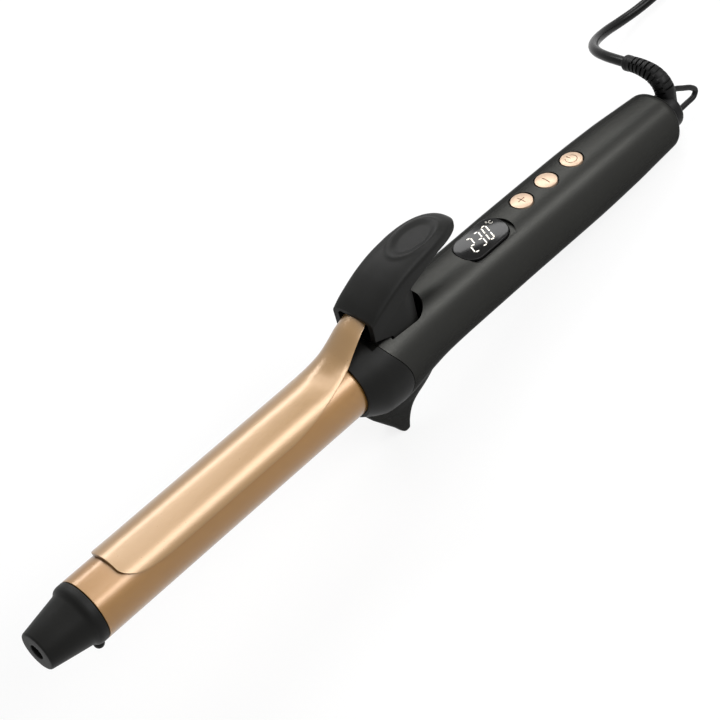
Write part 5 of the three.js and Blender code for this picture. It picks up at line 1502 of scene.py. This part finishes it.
slot_width, slot_depth = 0.8, 1.35
cutters = slot_cutters(slot_width, slot_depth)

# %% [markdown]
# The relief's tube ends in a thicker ring with a rounded mouth, where the cord comes out. The hub is a turned
# piece with the groove of its clip, and the hanging loop is a thin tube along a second curve. All are joined,
# because they are one moulding, and the slots are cut last.

# %% Strain relief with its hub and loop
ring_length, ring_radius, ring_rise, mouth_length, mouth_round = 2.6, 3.4, 0.3, 0.6, 0.35
relief_radii = []
for k in range(relief_steps + 1):
    length = relief_length * k / relief_steps
    radius = relief_radius(length)
    if length > relief_length - ring_length:
        over = min((length - relief_length + ring_length) / ring_rise, 1)
        end = min((relief_length - length) / mouth_length, 1)
        radius += (ring_radius - radius) * over - mouth_round * (1 - math.sqrt(1 - (1 - end) ** 2))
    relief_radii.append(radius)
relief = swept("strain_relief_skin", relief_points, relief_radii, 56, (1, 0, 0))
hub_front = handle_rear + gap
hub = revolve("hub", rounded([
    (311, 0, 0), (311, 3.4, 0.4), (323, 3.4, 0), (323, 5.9, 0.3), (327.2, 5.9, 0), (327.2, 5.0, 0), (329, 5.0, 0),
    (329, 5.9, 0), (hub_front, 5.9, 0), (hub_front, 8, 0.3), (hub_front + 5.6, 8, 1.9), (hub_front + 5.6, 0, 0),
], 6), height=swivel_height, steps=96)
boolean(relief, [hub], "UNION")
loop_count, loop_radius = 90, 1.2
loop_points, loop_length = through([
    (346.5, 0, 6.4), (351.5, 0, 4.9), (357, 0, 1.8), (362, 0, -1.3), (364.3, 0, -4), (363, 0, -6.2), (358, 0, -6.7),
    (352, 0, -6.9), (346.5, 0, -6.9),
], loop_count)
boolean(relief, [swept("loop", loop_points, [loop_radius] * loop_count, 28, (0, 1, 0))], "UNION")
boolean(relief, [cutters], crossing=True)
print("the hanging loop's tube is", round(loop_length, 1), "mm long")
finished(relief, "swivel", rubber, ["strain_relief"], angle=40)

# %% [markdown]
# The plug lies by the hank: a moulded body that widens from its neck to a flat face with two round pins. A box with
# a bevel would be too even, so a loft of superellipses gives the soft shoulders, and the sockets are cut for the
# pins. It is drawn in the table's own millimetres, because it lies flat and doesn't lean with the iron.

# %% Plug
plug_rows = [
    (0, 4.2, 4.2, 2), (6, 4.35, 4.3, 2), (12, 4.9, 4.5, 2.1), (16, 10.9, 5.5, 2.6), (20, 14.6, 6.3, 3.2),
    (27, 16.4, 6.8, 4), (31, 17.2, plug_half_height, 4.6), (34, 17.6, plug_half_height, 5),
    (34.6, 17.35, 6.6, 5), (plug_length, 16.6, 5.85, 5),
]
pins_apart, socket_radius, socket_depth = 9.3, 2.3, 5
plug_face = plug_at.x - plug_length
rings = []
for back in stations(plug_rows, 0.7):
    width, height, power = smooth_rows(plug_rows, back)
    rings.append([Vector(p) + plug_at for p in oval_ring(-back, width, height, 0, power, 72)])
plug = loft("plug_skin", rings)
boolean(plug, [rod("socket", "x", plug_face - 2, plug_face + socket_depth, socket_radius,
                   (plug_at.y + side * pins_apart, plug_at.z), 40) for side in (-1, 1)])
plug.data.transform(Matrix.Scale(mm, 4))
finished(plug, "swivel", matte_black, ["plug_body"], in_frame=True)

# %% Plug pins
plug_pin_radius, plug_pin_reach, plug_pin_seat, plug_pin_round = 2, 19, 4.7, 1.1
pin_end, pin_root = plug_face - plug_pin_reach, plug_face + plug_pin_seat
for side, word in ((-1, "left"), (1, "right")):
    pin = revolve("plug_pin_" + word + "_skin", rounded([
        (pin_end, 0, 0), (pin_end, plug_pin_radius, plug_pin_round), (pin_root, plug_pin_radius, 0),
        (pin_root, 0, 0)], 6), height=plug_at.z, steps=48)
    pin.data.transform(Matrix.Translation((0, plug_at.y + side * pins_apart, 0)))
    pin.data.transform(Matrix.Scale(mm, 4))
    finished(pin, "swivel", pin_metal, ["plug_pin_" + word], in_frame=True)

# %% [markdown]
# What is left are small fittings whose solids already have the right form, so drawing them again would gain
# nothing. A copy of each is merged, smoothed and given a fine rounded edge, so that screws, bush and pins catch
# the light as metal and plastic do. The spring's wire is round already and gets no bevel.

# %% Small fittings
fitting_edge, fitting_weld = 0.00012, 1e-6
small_fittings = {
    "tip_screw": ("handle", "steel", steel), "pivot_pin": ("handle", "steel", steel),
    "clamp_rivet_1": ("clamp", "steel", steel), "clamp_rivet_2": ("clamp", "steel", steel),
    "torsion_spring": ("handle", "steel", steel), "handle_screw_1": ("handle", "steel", steel),
    "handle_screw_2": ("handle", "steel", steel), "swivel_bush": ("handle", "black_plastic", matte_black),
    "hank_tie": ("swivel", "black_plastic", matte_black),
}
for node, (body, slot_name, material) in small_fittings.items():
    copied = bpy.data.objects.new(node + "_skin", frame["nodes"][node].data.copy())
    copied.data.transform(frame["nodes"][node].matrix_world)
    scene.collection.objects.link(copied)
    work = bmesh.new()
    work.from_mesh(copied.data)
    bmesh.ops.remove_doubles(work, verts=work.verts, dist=fitting_weld)
    work.to_mesh(copied.data)
    work.free()
    if node != "torsion_spring":
        round_edges(copied, fitting_edge, angle=50, segments=2)
    finished(copied, body, material, [node], angle=40, in_frame=True)

# %% [markdown]

# %% [markdown]
# The last cell brings the view layer up to date.

# %% Finish
bpy.context.view_layer.update()
